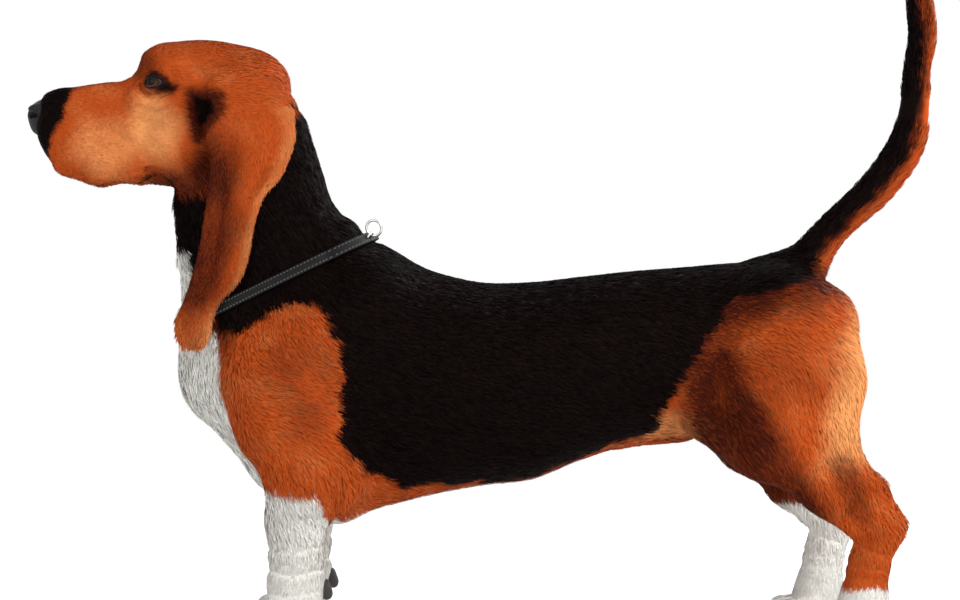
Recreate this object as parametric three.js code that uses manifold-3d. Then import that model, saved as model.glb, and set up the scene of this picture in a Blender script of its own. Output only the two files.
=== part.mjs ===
// A life-size basset hound, standing square in side view with its head and tail raised.
// Millimetres, +Z up, the nose towards -X, the left side towards -Y. The origin is on the floor
// under the middle of the model, so the soles stand on z = 0.
//
// The flesh is one smooth field: a few named forms (barrels for the trunk, neck, skull and
// muzzle, limbs for the bones and muscles, balls for the rounder masses) that melt into each
// other. Each node is the part of that one surface on its side of the cuts, so that the nodes
// meet face to face. Ears, tail, collar, eyes, nose and claws are made on top of it.
import * as THREE from "three";
import { mergeVertices } from "three/addons/utils/BufferGeometryUtils.js";
import Module from "manifold-3d";

const wasm = await Module();
wasm.setup();

// Driving dimensions
const GAP = 0.3; // between two nodes that touch
const CUT = GAP / 2; // each side of a cut
const NOSE_X = -428;
const RUMP_X = 352;
const WITHERS_Z = 372;
const BELLY_Z = 146;
const FAR = 2000; // a block this big stands for half of space

const COATS = {
  black: { color: 0x17110f, roughness: 0.5 },
  tan: { color: 0xa8521f, roughness: 0.6 },
  white: { color: 0xd9d5cd, roughness: 0.7 },
  nose: { color: 0x0d0c10, roughness: 0.35 },
  eye: { color: 0x2a1308, roughness: 0.1 },
  leather: { color: 0x1c1b1d, roughness: 0.45 },
  metal: { color: 0xb9bdb8, roughness: 0.25, metalness: 1 },
};

// Blending of two distances over a width k, as a union and as a cut
const melt = (a, b, k) => {
  const h = Math.max(k - Math.abs(a - b), 0) / k;
  return Math.min(a, b) - (h * h * k) / 4;
};
const carve = (a, b, k) => -melt(-a, b, k);

// A ball with three radii, pitched about the Y axis (degrees, nose end down when positive)
function ball([cx, cy, cz], [rx, ry, rz], pitch = 0) {
  const c = Math.cos(THREE.MathUtils.degToRad(pitch));
  const s = Math.sin(THREE.MathUtils.degToRad(pitch));
  return (x, y, z) => {
    const dx = x - cx;
    const dz = z - cz;
    const u = (dx * c + dz * s) / rx;
    const v = (y - cy) / ry;
    const w = (dz * c - dx * s) / rz;
    const k0 = Math.hypot(u, v, w);
    const k1 = Math.hypot(u / rx, v / ry, w / rz);
    return k1 < 1e-9 ? -Math.min(rx, ry, rz) : (k0 * (k0 - 1)) / k1;
  };
}

// A chain of round cones through points [x, y, z, radius]; flat widens it along Y
function limb(points, flat = 1, softness = 6) {
  return (x, y, z) => {
    let nearest = Infinity;
    for (let i = 0; i + 1 < points.length; i++) {
      const [ax, ay, az, ar] = points[i];
      const [bx, by, bz, br] = points[i + 1];
      const [ex, ey, ez] = [bx - ax, by - ay, bz - az];
      const along = (x - ax) * ex + (y - ay) * ey + (z - az) * ez;
      const t = Math.min(1, Math.max(0, along / (ex * ex + ey * ey + ez * ez)));
      const qy = (y - ay - ey * t) / flat;
      const d = Math.hypot(x - ax - ex * t, qy, z - az - ez * t) - (ar + (br - ar) * t);
      nearest = nearest === Infinity ? d : melt(nearest, d, softness);
    }
    return nearest;
  };
}

// Values between stations [at, a, b, c, ...] along a smooth curve
function between(stations, at) {
  const last = stations.length - 1;
  const u = Math.min(Math.max(at, stations[0][0]), stations[last][0]);
  let i = 0;
  while (i < last - 1 && u > stations[i + 1][0]) i++;
  const [p, q] = [stations[i], stations[i + 1]];
  const before = stations[Math.max(i - 1, 0)];
  const after = stations[Math.min(i + 2, last)];
  const span = q[0] - p[0];
  const t = (u - p[0]) / span;
  return p.map((_, k) => {
    const m0 = ((q[k] - before[k]) / (q[0] - before[0])) * span;
    const m1 = ((after[k] - p[k]) / (after[0] - p[0])) * span;
    const [t2, t3] = [t * t, t * t * t];
    return (
      (2 * t3 - 3 * t2 + 1) * p[k] + (t3 - 2 * t2 + t) * m0 + (3 * t2 - 2 * t3) * q[k] + (t3 - t2) * m1
    );
  });
}

// A body with an upper and a lower line. Stations are [at, high, low, halfWidth, widestAt];
// the section is an egg of power `squareness`, and the ends are rounded over `round`.
function barrel(stations, squareness, round, upright = false) {
  const first = stations[0][0];
  const last = stations[stations.length - 1][0];
  return (x, y, z) => {
    const [at, across] = upright ? [z, x] : [x, z];
    const [, high, low, half, widest] = between(stations, at);
    const reach = across > widest ? high - widest : widest - low;
    const v = Math.abs(across - widest) / reach;
    const u = Math.abs(y) / half;
    const g = Math.pow(Math.pow(u, squareness) + Math.pow(v, squareness), 1 / squareness);
    const side = (g - 1) * Math.min(half, reach);
    const end = Math.abs(at - (first + last) / 2) - (last - first) / 2;
    return carve(side, -end, round);
  };
}

// Trunk: [x, back line, belly line, half width, height of the widest rib]
const trunk = barrel(
  [
    [-280, 322, 240, 44, 285],
    [-256, 338, 212, 60, 275],
    [-222, 355, 175, 74, 262],
    [-180, 368, 130, 84, 252],
    [-135, WITHERS_Z, 113, 91, 246],
    [-92, 368, 125, 98, 244],
    [-47, 352, 137, 102, 242],
    [0, 341, BELLY_Z, 103, 242],
    [48, 341, 152, 100, 246],
    [95, 346, 170, 93, 254],
    [140, 351, 184, 84, 264],
    [190, 355, 190, 77, 274],
    [240, 359, 194, 77, 282],
    [290, 360, 206, 76, 290],
    [RUMP_X - 22, 345, 226, 66, 288],
  ],
  2.25,
  34,
);

// Neck: [z, back line, throat line, half width, place of the widest point]
const neck = barrel(
  [
    [235, -90, -266, 58, -190],
    [290, -78, -280, 64, -190],
    [330, -82, -284, 66, -190],
    [362, -92, -285, 65, -195],
    [390, -122, -286, 62, -205],
    [418, -143, -290, 58, -216],
    [445, -152, -293, 55, -222],
    [475, -161, -284, 52, -225],
    [500, -171, -262, 48, -222],
  ],
  2.1,
  20,
  true,
);
const napeRoll = ball([-132, 0, 387], [14, 36, 13], 30);
const crest = ball([-181, 0, 492], [13, 26, 18], 20);
const dewlap = limb(
  [
    [-281, 13, 410, 8],
    [-278, 17, 360, 8],
    [-274, 20, 318, 8],
  ],
  0.8,
);

// Shoulder, upper arm and foreleg, for the side where y is positive
const ELBOW = [-152, 88, 158];
const WRIST = [-171, 66, 64];
const shoulder = limb(
  [
    [-112, 56, 322, 32],
    [-160, 66, 285, 36],
    [-196, 72, 250, 36],
    [-188, 80, 205, 35],
    [...ELBOW, 37],
  ],
  0.95,
  20,
);
const forearm = limb([
  [-166, 84, 165, 35],
  [-170, 76, 120, 29.5],
  [...WRIST, 26.5],
  [-174, 70, 38, 25],
]);
const elbowPoint = ball([-131, 92, 152], [14, 15, 19]);
const breast = ball([-260, 0, 262], [22, 34, 42], -14);
const keel = limb(
  [
    [-242, 0, 224, 20],
    [-194, 0, 172, 24],
    [-142, 0, 142, 24],
  ],
  1.2,
  16,
);

// Hip, thigh, second thigh and hock, for the side where y is positive
const HIP = [282, 58, 296];
const STIFLE = [267, 92, 194];
const HOCK = [368, 82, 108];
const thigh = limb(
  [
    [...HIP, 54],
    [272, 74, 238, 51],
    [...STIFLE, 36],
  ],
  0.9,
  26,
);
const ham = limb(
  [
    [322, 44, 300, 30],
    [320, 62, 250, 34],
    [316, 74, 200, 37],
  ],
  0.95,
  24,
);
const secondThigh = limb(
  [
    [277, 92, 188, 34],
    [324, 86, 152, 28],
    [...HOCK, 21],
  ],
  0.85,
  14,
);
const hamstring = limb(
  [
    [337, 78, 178, 17],
    [364, 80, 148, 12.5],
    [384, 82, 118, 11.5],
  ],
  0.8,
  12,
);
const rearPastern = limb(
  [
    [...HOCK, 22],
    [360, 80, 76, 20.5],
    [354, 80, 38, 21],
  ],
  0.95,
);
const flank = limb(
  [
    [205, 62, 214, 20],
    [250, 82, 186, 22],
  ],
  0.7,
  14,
);
const sheath = limb(
  [
    [150, 0, 190, 9],
    [188, 0, 190, 10],
  ],
  0.9,
);
const tail = limb([
  [278, 0, 336, 26],
  [309, 0, 359, 21.5],
  [335, 0, 390, 17],
  [376, 0, 429, 18],
  [403, 0, 467, 18.5],
  [412, 0, 500, 16.5],
  [415, 0, 541, 14],
  [420, 0, 572, 14.5],
  [418, 0, 602, 14],
  [412, 0, 638, 10],
  [406, 0, 662, 5],
]);
// The far hind foot stands a little further forward: how far, at height z
const FAR_STEP = 25;
const stepAt = (z) => FAR_STEP * THREE.MathUtils.smoothstep(195 - z, 0, 90);

// Paws: four toes on an arc, over a heel pad and a pad under each toe
const FORE_PAW = { at: [-178, 76], turn: 12, size: 1, heel: WRIST };
const HIND_PAW = { at: [340, 82], turn: 5, size: 0.9, heel: [356, 80, 50] };
const TOES = [-1.5, -0.5, 0.5, 1.5]; // across the paw, in toe widths
const TOE_PITCH = 19;
const INNER_REACH = 38;
const OUTER_REACH = 27;

// The places of one toe: where it starts, its knuckle, its tip and the way it points
function toePlaces({ at: [px, py], turn, size }, across) {
  const a = THREE.MathUtils.degToRad(turn + across * 5);
  const b = THREE.MathUtils.degToRad(turn);
  const reach = Math.abs(across) > 1 ? OUTER_REACH : INNER_REACH;
  const place = (forward, spread) => [
    px - size * (forward * Math.cos(a) - spread * across * TOE_PITCH * Math.sin(b)),
    py + size * (forward * Math.sin(a) + spread * across * TOE_PITCH * Math.cos(b)),
  ];
  return {
    root: [...place(-10, 0.7), 25 * size],
    knuckle: [...place(reach - 15, 0.95), 23 * size],
    tip: [...place(reach, 1), 10.5 * size],
    way: [-Math.cos(a), Math.sin(a)],
  };
}

function paw(kind) {
  const { at, size, heel } = kind;
  const toes = TOES.map((across) => {
    const { root, knuckle, tip } = toePlaces(kind, across);
    return limb(
      [
        [...root, 14 * size],
        [...knuckle, 13.5 * size],
        [...tip, 11.5 * size],
      ],
      1,
      8,
    );
  });
  const pad = ball([at[0] + 6 * size, at[1], 9 * size], [25 * size, 24 * size, 12 * size]);
  const back = limb(
    [
      [...heel, 22 * size],
      [at[0] + 6, at[1], 28 * size, 22 * size],
    ],
    1.1,
    12,
  );
  return (x, y, z) => {
    let d = melt(back(x, y, z), pad(x, y, z), 10);
    let toed = Infinity;
    for (const toe of toes) {
      const t = toe(x, y, z);
      toed = toed === Infinity ? t : melt(toed, t, 3.5);
    }
    return melt(d, toed, 9);
  };
}
const forePaw = paw(FORE_PAW);
const hindPaw = paw(HIND_PAW);

// Head. Skull and muzzle: [x, upper line, lower line, half width, height of the widest point]
const skull = barrel(
  [
    [-333, 536, 452, 30, 500],
    [-320, 553, 446, 37, 508],
    [-305, 565, 440, 45, 510],
    [-285, 569, 436, 53, 506],
    [-260, 570, 434, 58, 504],
    [-232, 567, 438, 58, 506],
    [-206, 560, 448, 52, 508],
    [-180, 543, 470, 34, 510],
  ],
  2.15,
  16,
);
const muzzle = barrel(
  [
    [-422, 511, 476, 18, 495],
    [-412, 519.5, 461, 26, 486],
    [-400, 524.5, 445, 31.5, 478],
    [-385, 526, 434, 34.5, 470],
    [-365, 529, 429.5, 36.5, 468],
    [-345, 531.5, 430, 38, 470],
    [-322, 534, 434, 39.5, 476],
    [-296, 534, 444, 38, 484],
  ],
  2.5,
  12,
);
const brow = ball([-303, 27, 549], [18, 14, 12], -16);
const cheekbone = limb(
  [
    [-322, 33, 512, 9],
    [-290, 44, 508, 12],
    [-250, 53, 508, 13],
  ],
  0.9,
  10,
);
const cheek = ball([-268, 36, 474], [42, 23, 36], 18);
const earSeat = ball([-222, 50, 508], [40, 17, 26], -12);
const earHollow = ball([-259, 62, 496], [10, 9, 19], 8);
const underJaw = ball([-276, 0, 452], [36, 34, 18], 12);
const flew = limb(
  [
    [-392, 20, 452, 11],
    [-362, 25, 444, 13],
    [-324, 29, 449, 13],
    [-306, 34, 460, 12],
  ],
  0.9,
  12,
);
const stopHollow = ball([-336, 0, 548], [16, 9, 12], 35);
const JAW = [
  [-375, 0, 452, 14],
  [-345, 0, 450, 16.5],
  [-300, 0, 452, 20],
];
const lowerJaw = limb(JAW, 1.2, 8);
// Room for the lower jaw between the lips, open below and a little wider there
const jawRoom = (x, y, z) => lowerJaw(x, y, Math.max(z, 451)) - 0.4 - Math.max(0, 446 - z) * 0.12;
const EYE = [-307, 35.5, 527.5];
const EYE_RADIUS = 11;
const EYE_WAY = new THREE.Vector3(-0.5, 0.85, 0.06).normalize(); // where the right eye looks
const LIDS_RADIUS = 13.2;
const socket = ball([EYE[0] - 4, EYE[1] + 14, EYE[2] - 2], [19, 12, 13]);
const lids = ball(EYE, [LIDS_RADIUS, LIDS_RADIUS, LIDS_RADIUS]);

function headOnly(x, y, z) {
  const s = Math.abs(y);
  let d = melt(skull(x, y, z), muzzle(x, y, z), 16);
  d = melt(d, brow(x, s, z), 10);
  d = melt(d, cheekbone(x, s, z), 12);
  d = melt(d, cheek(x, s, z), 14);
  d = melt(d, underJaw(x, y, z), 16);
  d = melt(d, flew(x, s, z), 9);
  d = melt(d, earSeat(x, s, z), 16);
  d = carve(d, earHollow(x, s, z), 8);
  d = carve(d, stopHollow(x, y, z), 10);
  d = carve(d, socket(x, s, z), 8);
  d = melt(d, lids(x, s, z), 5);
  return d;
}

// The whole flesh, without ears and tail
function flesh(x, y, z) {
  const s = Math.abs(y);
  let d = melt(trunk(x, y, z), neck(x, y, z), 34);
  if (x < -30) {
    d = melt(d, breast(x, y, z), 24);
    d = melt(d, keel(x, y, z), 22);
    d = melt(d, shoulder(x, s, z), 34);
    d = melt(d, napeRoll(x, y, z), 9);
    d = melt(d, crest(x, y, z), 14);
    d = melt(d, dewlap(x, s, z), 14);
    d = melt(d, forearm(x, s, z), 16);
    d = melt(d, elbowPoint(x, s, z), 18);
    d = melt(d, forePaw(x, s, z), 10);
  } else if (x > 90) {
    const near = x + (y > 0 ? stepAt(z) : 0);
    d = melt(d, thigh(x, s, z), 30);
    d = melt(d, ham(x, s, z), 26);
    d = melt(d, flank(x, s, z), 20);
    d = melt(d, sheath(x, y, z), 14);
    d = melt(d, tail(x, y, z), 22);
    d = melt(d, secondThigh(near, s, z), 18);
    d = melt(d, hamstring(near, s, z), 14);
    d = melt(d, rearPastern(near, s, z), 10);
    d = melt(d, hindPaw(near, s, z), 10);
  }
  return d;
}

function fleshAndHead(x, y, z) {
  if (z < 380 || x > -120) return flesh(x, y, z);
  const s = Math.abs(y);
  let d = melt(flesh(x, y, z), headOnly(x, y, z), 10);
  return d;
}

// Grid lines from one place to the next at the step that is asked for there
function lines(...stretches) {
  const made = [];
  for (const [from, to, step] of stretches) {
    const count = Math.max(1, Math.round((to - from) / step));
    for (let i = made.length ? 1 : 0; i <= count; i++) made.push(from + ((to - from) * i) / count);
  }
  return made;
}

// Corners of a grid cell are numbered by the bits x, y, z, its edges by axis * 8 + lower corner
const CORNERS = [0, 1, 2, 3, 4, 5, 6, 7];
const bit = (corner, axis) => (corner >> axis) & 1;
const edgeOf = (a, b) => Math.log2(a ^ b) * 8 + Math.min(a, b);

// The separate sheets of the surface in one cell: for each edge, the sheet that it crosses
function sheetsOf(inner) {
  const sheet = Array.from({ length: 24 }, (_, edge) => edge);
  const join = (e, f) => {
    const old = sheet[e];
    sheet.forEach((s, n) => {
      if (s === old) sheet[n] = sheet[f];
    });
  };
  for (let axis = 0; axis < 3; axis++)
    for (const face of [0, 1 << axis]) {
      const [b, d] = [1 << ((axis + 1) % 3), 1 << ((axis + 2) % 3)];
      const ring = [face, face | b, face | b | d, face | d];
      const crossed = ring.map((c, n) => [c, ring[(n + 1) % 4]]).filter(([c, e]) => inner[c] !== inner[e]);
      if (crossed.length === 2) join(edgeOf(...crossed[0]), edgeOf(...crossed[1]));
      if (crossed.length === 4)
        ring.forEach((c, n) => {
          if (inner[c]) join(edgeOf(c, ring[(n + 1) % 4]), edgeOf(ring[(n + 3) % 4], c));
        });
    }
  return sheet;
}

// The surface of a field inside a box of grid lines, as a closed mesh: one point for each sheet in
// each cell that the surface crosses, then evened out and set back on the surface
function surface(field, xs, ys, zs) {
  const [nx, ny, nz] = [xs.length, ys.length, zs.length];
  const at = (i, j, k) => (i * ny + j) * nz + k;
  const values = new Float64Array(nx * ny * nz);
  for (let i = 0; i < nx; i++)
    for (let j = 0; j < ny; j++)
      for (let k = 0; k < nz; k++) {
        const rim = i * j * k === 0 || i === nx - 1 || j === ny - 1 || k === nz - 1;
        values[at(i, j, k)] = rim ? 5 : field(xs[i], ys[j], zs[k]) || 1e-6;
      }
  const points = [];
  const loose = [];
  const pointAt = new Map(); // by cell and edge
  for (let i = 0; i < nx - 1; i++)
    for (let j = 0; j < ny - 1; j++)
      for (let k = 0; k < nz - 1; k++) {
        const cornerAt = (c) => [i + bit(c, 0), j + bit(c, 1), k + bit(c, 2)];
        const level = CORNERS.map((c) => values[at(...cornerAt(c))]);
        const inner = level.map((v) => v < 0);
        if (inner.every((v) => v === inner[0])) continue;
        const place = (c) => {
          const [u, v, w] = cornerAt(c);
          return new THREE.Vector3(xs[u], ys[v], zs[w]);
        };
        const sheet = sheetsOf(inner);
        const crossings = new Map();
        for (const c of CORNERS)
          for (let axis = 0; axis < 3; axis++) {
            const other = c | (1 << axis);
            if (other === c || inner[c] === inner[other]) continue;
            const group = sheet[edgeOf(c, other)];
            const crossing = place(c).lerp(place(other), level[c] / (level[c] - level[other]));
            crossings.set(group, [...(crossings.get(group) ?? []), crossing]);
            pointAt.set(at(i, j, k) * 24 + edgeOf(c, other), group);
          }
        for (const [group, places] of crossings) {
          const mean = new THREE.Vector3();
          for (const p of places) mean.add(p);
          sheet.forEach((g, edge) => {
            const key = at(i, j, k) * 24 + edge;
            if (g === group && pointAt.has(key)) pointAt.set(key, points.length);
          });
          points.push(mean.divideScalar(places.length));
          loose.push(i > 0 && j > 0 && k > 0 && i < nx - 2 && j < ny - 2 && k < nz - 2);
        }
      }
  const quads = [];
  const step = [at(1, 0, 0), at(0, 1, 0), at(0, 0, 1)];
  for (let i = 0; i < nx - 1; i++)
    for (let j = 0; j < ny - 1; j++)
      for (let k = 0; k < nz - 1; k++)
        for (let axis = 0; axis < 3; axis++) {
          const here = at(i, j, k);
          const inward = values[here] < 0;
          if (inward === values[here + step[axis]] < 0) continue;
          const [b, d] = [(axis + 1) % 3, (axis + 2) % 3];
          const ring = [3, 2, 0, 1].map((back) => {
            const [u, v] = [back & 1, back >> 1];
            const cell = here - u * step[b] - v * step[d];
            return pointAt.get(cell * 24 + axis * 8 + ((u << b) | (v << d)));
          });
          quads.push(inward ? ring : ring.reverse());
        }
  const near = points.map(() => new Set());
  for (const q of quads) q.forEach((p, n) => near[p].add(q[(n + 1) % 4]).add(q[(n + 3) % 4]));
  for (let pass = 0; pass < 4; pass++) {
    const evened = points.map((p, n) => {
      const mean = new THREE.Vector3();
      for (const other of near[n]) mean.add(points[other]);
      return p.clone().lerp(mean.divideScalar(near[n].size), 0.5);
    });
    evened.forEach((p, n) => {
      if (loose[n]) points[n] = settle(field, p, 4);
    });
  }
  const position = new Float32Array(points.flatMap((p) => [p.x, p.y, p.z]));
  const index = [];
  for (const [a, b, c, d] of quads) {
    const short = points[a].distanceTo(points[c]) <= points[b].distanceTo(points[d]);
    index.push(...(short ? [a, b, c, a, c, d] : [a, b, d, b, c, d]));
  }
  return new THREE.BufferGeometry()
    .setAttribute("position", new THREE.BufferAttribute(position, 3))
    .setIndex(index);
}

// The slope of a field at a point
function slopeOf(field, { x, y, z }) {
  const e = 0.5;
  return new THREE.Vector3(
    field(x + e, y, z) - field(x - e, y, z),
    field(x, y + e, z) - field(x, y - e, z),
    field(x, y, z + e) - field(x, y, z - e),
  ).divideScalar(2 * e);
}

// A point moved onto the surface of a field, by at most `most` a time
function settle(field, p, most) {
  for (let n = 0; n < 3; n++) {
    const d = field(p.x, p.y, p.z);
    const slope = slopeOf(field, p);
    const steep = Math.max(slope.lengthSq(), 0.05);
    p.addScaledVector(slope, -THREE.MathUtils.clamp(d / steep, -most, most));
  }
  return p;
}

// The same surface moved outwards by a gap, with the same triangles
function swollen(field, skin, by = GAP) {
  const places = skin.attributes.position;
  const moved = new Float32Array(places.count * 3);
  const p = new THREE.Vector3();
  for (let n = 0; n < places.count; n++) {
    p.fromBufferAttribute(places, n);
    p.addScaledVector(slopeOf(field, p).normalize(), by).toArray(moved, n * 3);
  }
  return new THREE.BufferGeometry()
    .setAttribute("position", new THREE.BufferAttribute(moved, 3))
    .setIndex(skin.index);
}

// Solids: closed meshes that can be joined and cut
function solidOf(geometry, matrix = new THREE.Matrix4()) {
  const placed = geometry.clone().applyMatrix4(matrix);
  placed.deleteAttribute("normal");
  placed.deleteAttribute("uv");
  const merged = mergeVertices(placed, 1e-4);
  return new wasm.Manifold(
    new wasm.Mesh({
      numProp: 3,
      vertProperties: merged.attributes.position.array,
      triVerts: new Uint32Array(merged.index.array),
    }),
  );
}

function geometryOf(solid) {
  const { vertProperties, triVerts } = solid.getMesh();
  return new THREE.BufferGeometry()
    .setAttribute("position", new THREE.BufferAttribute(new Float32Array(vertProperties), 3))
    .setIndex(new THREE.BufferAttribute(new Uint32Array(triVerts), 1));
}

// Only the largest closed surface of a solid
function largest(solid) {
  return solid.decompose().reduce((best, s) => (s.volume() > best.volume() ? s : best));
}

// Half of space: all that lies beyond a point on the way that a vector points
function beyond(point, way) {
  const turn = new THREE.Quaternion().setFromUnitVectors(new THREE.Vector3(0, 0, 1), way);
  const middle = point.clone().addScaledVector(way, FAR / 2);
  const matrix = new THREE.Matrix4().compose(middle, turn, new THREE.Vector3(1, 1, 1));
  return solidOf(new THREE.BoxGeometry(FAR, FAR, FAR), matrix);
}

// The two sides of a cut: [the side that the vector points to, the other side]
function sides([x, y, z], way) {
  const point = new THREE.Vector3(x, y, z);
  const forward = way.clone().normalize();
  const back = forward.clone().negate();
  return [
    beyond(point.clone().addScaledVector(forward, CUT), forward),
    beyond(point.clone().addScaledVector(back, CUT), back),
  ];
}
const within = (solid, ...regions) => regions.reduce((s, r) => s.intersect(r), solid);

// Cuts between the nodes
const UP = new THREE.Vector3(0, 0, 1);
const HEAD_CUT = [-297, 0, 427];
const COLLAR_TILT = 26; // degrees, from the nape down to the breast
const COLLAR_AT = [-200, 0, 336];
const collarWay = new THREE.Vector3(-1, 0, 0).applyAxisAngle(
  new THREE.Vector3(0, 1, 0),
  THREE.MathUtils.degToRad(90 - COLLAR_TILT),
);
const FORELEG_CUT = 128;
const [headSide, neckTop] = sides(HEAD_CUT, new THREE.Vector3(-78, 0, 121));
const [neckSide, trunkFront] = sides(COLLAR_AT, collarWay);
const [tailSide, trunkBack] = sides([319, 0, 371], new THREE.Vector3(0.64, 0, 0.77));
const [hindSide, rumpSide] = sides([199, 0, 185], new THREE.Vector3(57, 0, -164));
const [aboveHock, belowHock] = sides([362, 0, 92], new THREE.Vector3(0.25, 0, 1));
const [aboveHindPaw, hindPawSide] = sides([0, 0, 47], UP);
const [aboveForePaw, forePawSide] = sides([0, 0, 50], UP);
const [aboveFloor] = [beyond(new THREE.Vector3(), UP)];
const [rightHalf, leftHalf] = sides([0, 0, 0], new THREE.Vector3(0, 1, 0));
const halves = { left: leftHalf, right: rightHalf };

// A block between two corners
function block([x0, y0, z0], [x1, y1, z1]) {
  const matrix = new THREE.Matrix4().makeTranslation((x0 + x1) / 2, (y0 + y1) / 2, (z0 + z1) / 2);
  return solidOf(new THREE.BoxGeometry(x1 - x0, y1 - y0, z1 - z0), matrix);
}

const dog = new THREE.Group();
const solids = {};
function add(name, solid, coat) {
  const kept = largest(solid);
  solids[name] = kept;
  const mesh = new THREE.Mesh(geometryOf(kept), new THREE.MeshStandardMaterial(COATS[coat]));
  mesh.name = name;
  dog.add(mesh);
  return kept;
}

// The same solid on the other side of the dog
const mirrored = (solid) => solid.mirror([0, 1, 0]);
function addPair(name, right, coat) {
  add(`${name}_left`, mirrored(right), coat);
  add(`${name}_right`, right, coat);
}

// Trunk
const KEEL_HALF = 34; // from the middle plane to the inner side of a foreleg
const trunkLines = [
  lines([-330, -70, 21], [-70, 190, 33], [190, 295, 21], [295, 400, 15]),
  lines([-168, 168, 21]),
  lines([85, 337, 21], [337, 442, 15]),
];
const trunkSkin = surface(flesh, ...trunkLines);
const trunkWhole = solidOf(trunkSkin);
const legRoom = block([-265, KEEL_HALF, -10], [-95, 160, FORELEG_CUT + CUT]);
let trunkSolid = within(trunkWhole, trunkFront, trunkBack, rumpSide);
trunkSolid = trunkSolid.subtract(legRoom).subtract(mirrored(legRoom));
add("torso", trunkSolid, "black");

// Neck
const neckLines = [lines([-335, -30, 19]), lines([-114, 114, 19]), lines([245, 560, 19])];
const neckSkin = surface(fleshAndHead, ...neckLines);
add("neck", within(solidOf(neckSkin), neckSide, neckTop), "black");

// Collar: a strap that follows the neck on the cut between neck and trunk, and its ring
const STRAP_WIDTH = 10;
const STRAP_THICK = 3.2; // from the skin to the outer face
const STRAP_SPANS = 28;
const strapAcross = collarWay.clone().normalize();
const toNape = new THREE.Vector3().crossVectors(new THREE.Vector3(0, 1, 0), strapAcross).normalize();
const strapMiddle = new THREE.Vector3(...COLLAR_AT);

// How far the skin is from the middle of the strap, at an angle from the nape
function strapRadius(angle, offset) {
  const way = toNape.clone().multiplyScalar(Math.cos(angle));
  way.y = Math.sin(angle);
  let [near, far] = [20, 170];
  for (let n = 0; n < 24; n++) {
    const r = (near + far) / 2;
    const p = strapMiddle.clone().addScaledVector(way, r).addScaledVector(strapAcross, offset);
    if (flesh(p.x, p.y, p.z) < 0) near = r;
    else far = r;
  }
  return near;
}
function onStrap(angle, offset, height) {
  const r = strapRadius(angle, offset) + height;
  const way = toNape.clone().multiplyScalar(Math.cos(angle));
  way.y = Math.sin(angle);
  return strapMiddle.clone().addScaledVector(way, r).addScaledVector(strapAcross, offset);
}
const strapRings = Array.from({ length: STRAP_SPANS }, (_, n) => {
  const angle = (2 * Math.PI * n) / STRAP_SPANS;
  const edge = STRAP_WIDTH / 2;
  return [
    onStrap(angle, -edge, -4),
    onStrap(angle, edge, -4),
    onStrap(angle, edge, STRAP_THICK),
    onStrap(angle, -edge, STRAP_THICK),
  ];
});
const RING_ANGLE = THREE.MathUtils.degToRad(-14);
const RING_RADIUS = 7.5;
const RING_WIRE = 1.2;
const LOOP_RADIUS = 4.8;
const LOOP_WIRE = 1.2;
const loopFoot = onStrap(RING_ANGLE, 0, STRAP_THICK);
const outOfStrap = slopeOf(flesh, loopFoot).normalize();
const alongStrap = new THREE.Vector3().crossVectors(strapAcross, outOfStrap).normalize();
const loopHole = new THREE.Vector3().crossVectors(outOfStrap, alongStrap);
// A ring of wire about a centre, with its hole along a vector
function wireRing(centre, radius, wire, hole) {
  const turn = new THREE.Quaternion().setFromUnitVectors(UP, hole.clone().normalize());
  const matrix = new THREE.Matrix4().compose(centre, turn, new THREE.Vector3(1, 1, 1));
  return solidOf(new THREE.TorusGeometry(radius, wire, 5, 18), matrix);
}
const strapLoop = wireRing(loopFoot, LOOP_RADIUS, LOOP_WIRE, loopHole);
// The strap's inner face follows the skin of the node that is under it, a gap away
const underStrap = (field, skin, way) =>
  solidOf(swollen(field, skin)).intersect(
    beyond(strapMiddle.clone().addScaledVector(way, -GAP), way),
  );
const strap = wasm.Manifold.union([solidOf(tube(strapRings, true)), strapLoop]);
add(
  "collar",
  strap
    .subtract(underStrap(fleshAndHead, neckSkin, strapAcross))
    .subtract(underStrap(flesh, trunkSkin, strapAcross.clone().negate())),
  "leather",
);
const ringCentre = loopFoot.clone().addScaledVector(outOfStrap, RING_WIRE + 2 * GAP + RING_RADIUS);
add("collar_ring", wireRing(ringCentre, RING_RADIUS, RING_WIRE, alongStrap), "metal");

// Nose leather with its two nostrils and the groove between them
const noseBlock = ball([-410, 0, 500], [20, 18.5, 15], 12);
const noseFoot = ball([-414, 0, 487], [12, 10, 9], 0);
const noseField = (x, y, z) => melt(noseBlock(x, y, z), noseFoot(x, y, z), 8);
const noseLines = (grow) => [
  (x, y, z) => noseField(x, y, z) - grow,
  lines([-437, -381, 7]),
  lines([-28, 28, 7]),
  lines([467, 523, 7]),
];
// A turn and a place as one matrix: the third axis points along a vector, the first is level
function facing(place, way) {
  const third = way.clone().normalize();
  const first = new THREE.Vector3().crossVectors(UP, third);
  if (first.length() < 1e-6) first.set(1, 0, 0);
  first.normalize();
  const second = new THREE.Vector3().crossVectors(third, first);
  return new THREE.Matrix4().makeBasis(first, second, third).setPosition(...place);
}
// A ball with three radii as a solid: level, upright and along a vector
function egg(place, radii, way = UP, steps = 10) {
  const matrix = facing(place, way).scale(new THREE.Vector3(...radii));
  return solidOf(new THREE.SphereGeometry(1, steps, Math.round(steps * 0.6)), matrix);
}
let noseSolid = solidOf(surface(...noseLines(0)));
const nostril = egg([-427, 8, 499.5], [3, 3.8, 8], new THREE.Vector3(-0.75, 0.55, -0.1));
const nostrilSlit = egg([-421, 14.5, 496], [1.8, 1.5, 8], new THREE.Vector3(0.85, 0.5, 0.15));
const noseGroove = egg([-430, 0, 489], [1, 2.6, 9], new THREE.Vector3(0.25, 0, 1));
for (const hole of [nostril, mirrored(nostril), nostrilSlit, mirrored(nostrilSlit), noseGroove])
  noseSolid = noseSolid.subtract(hole);
add("nose", noseSolid, "nose");

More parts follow.
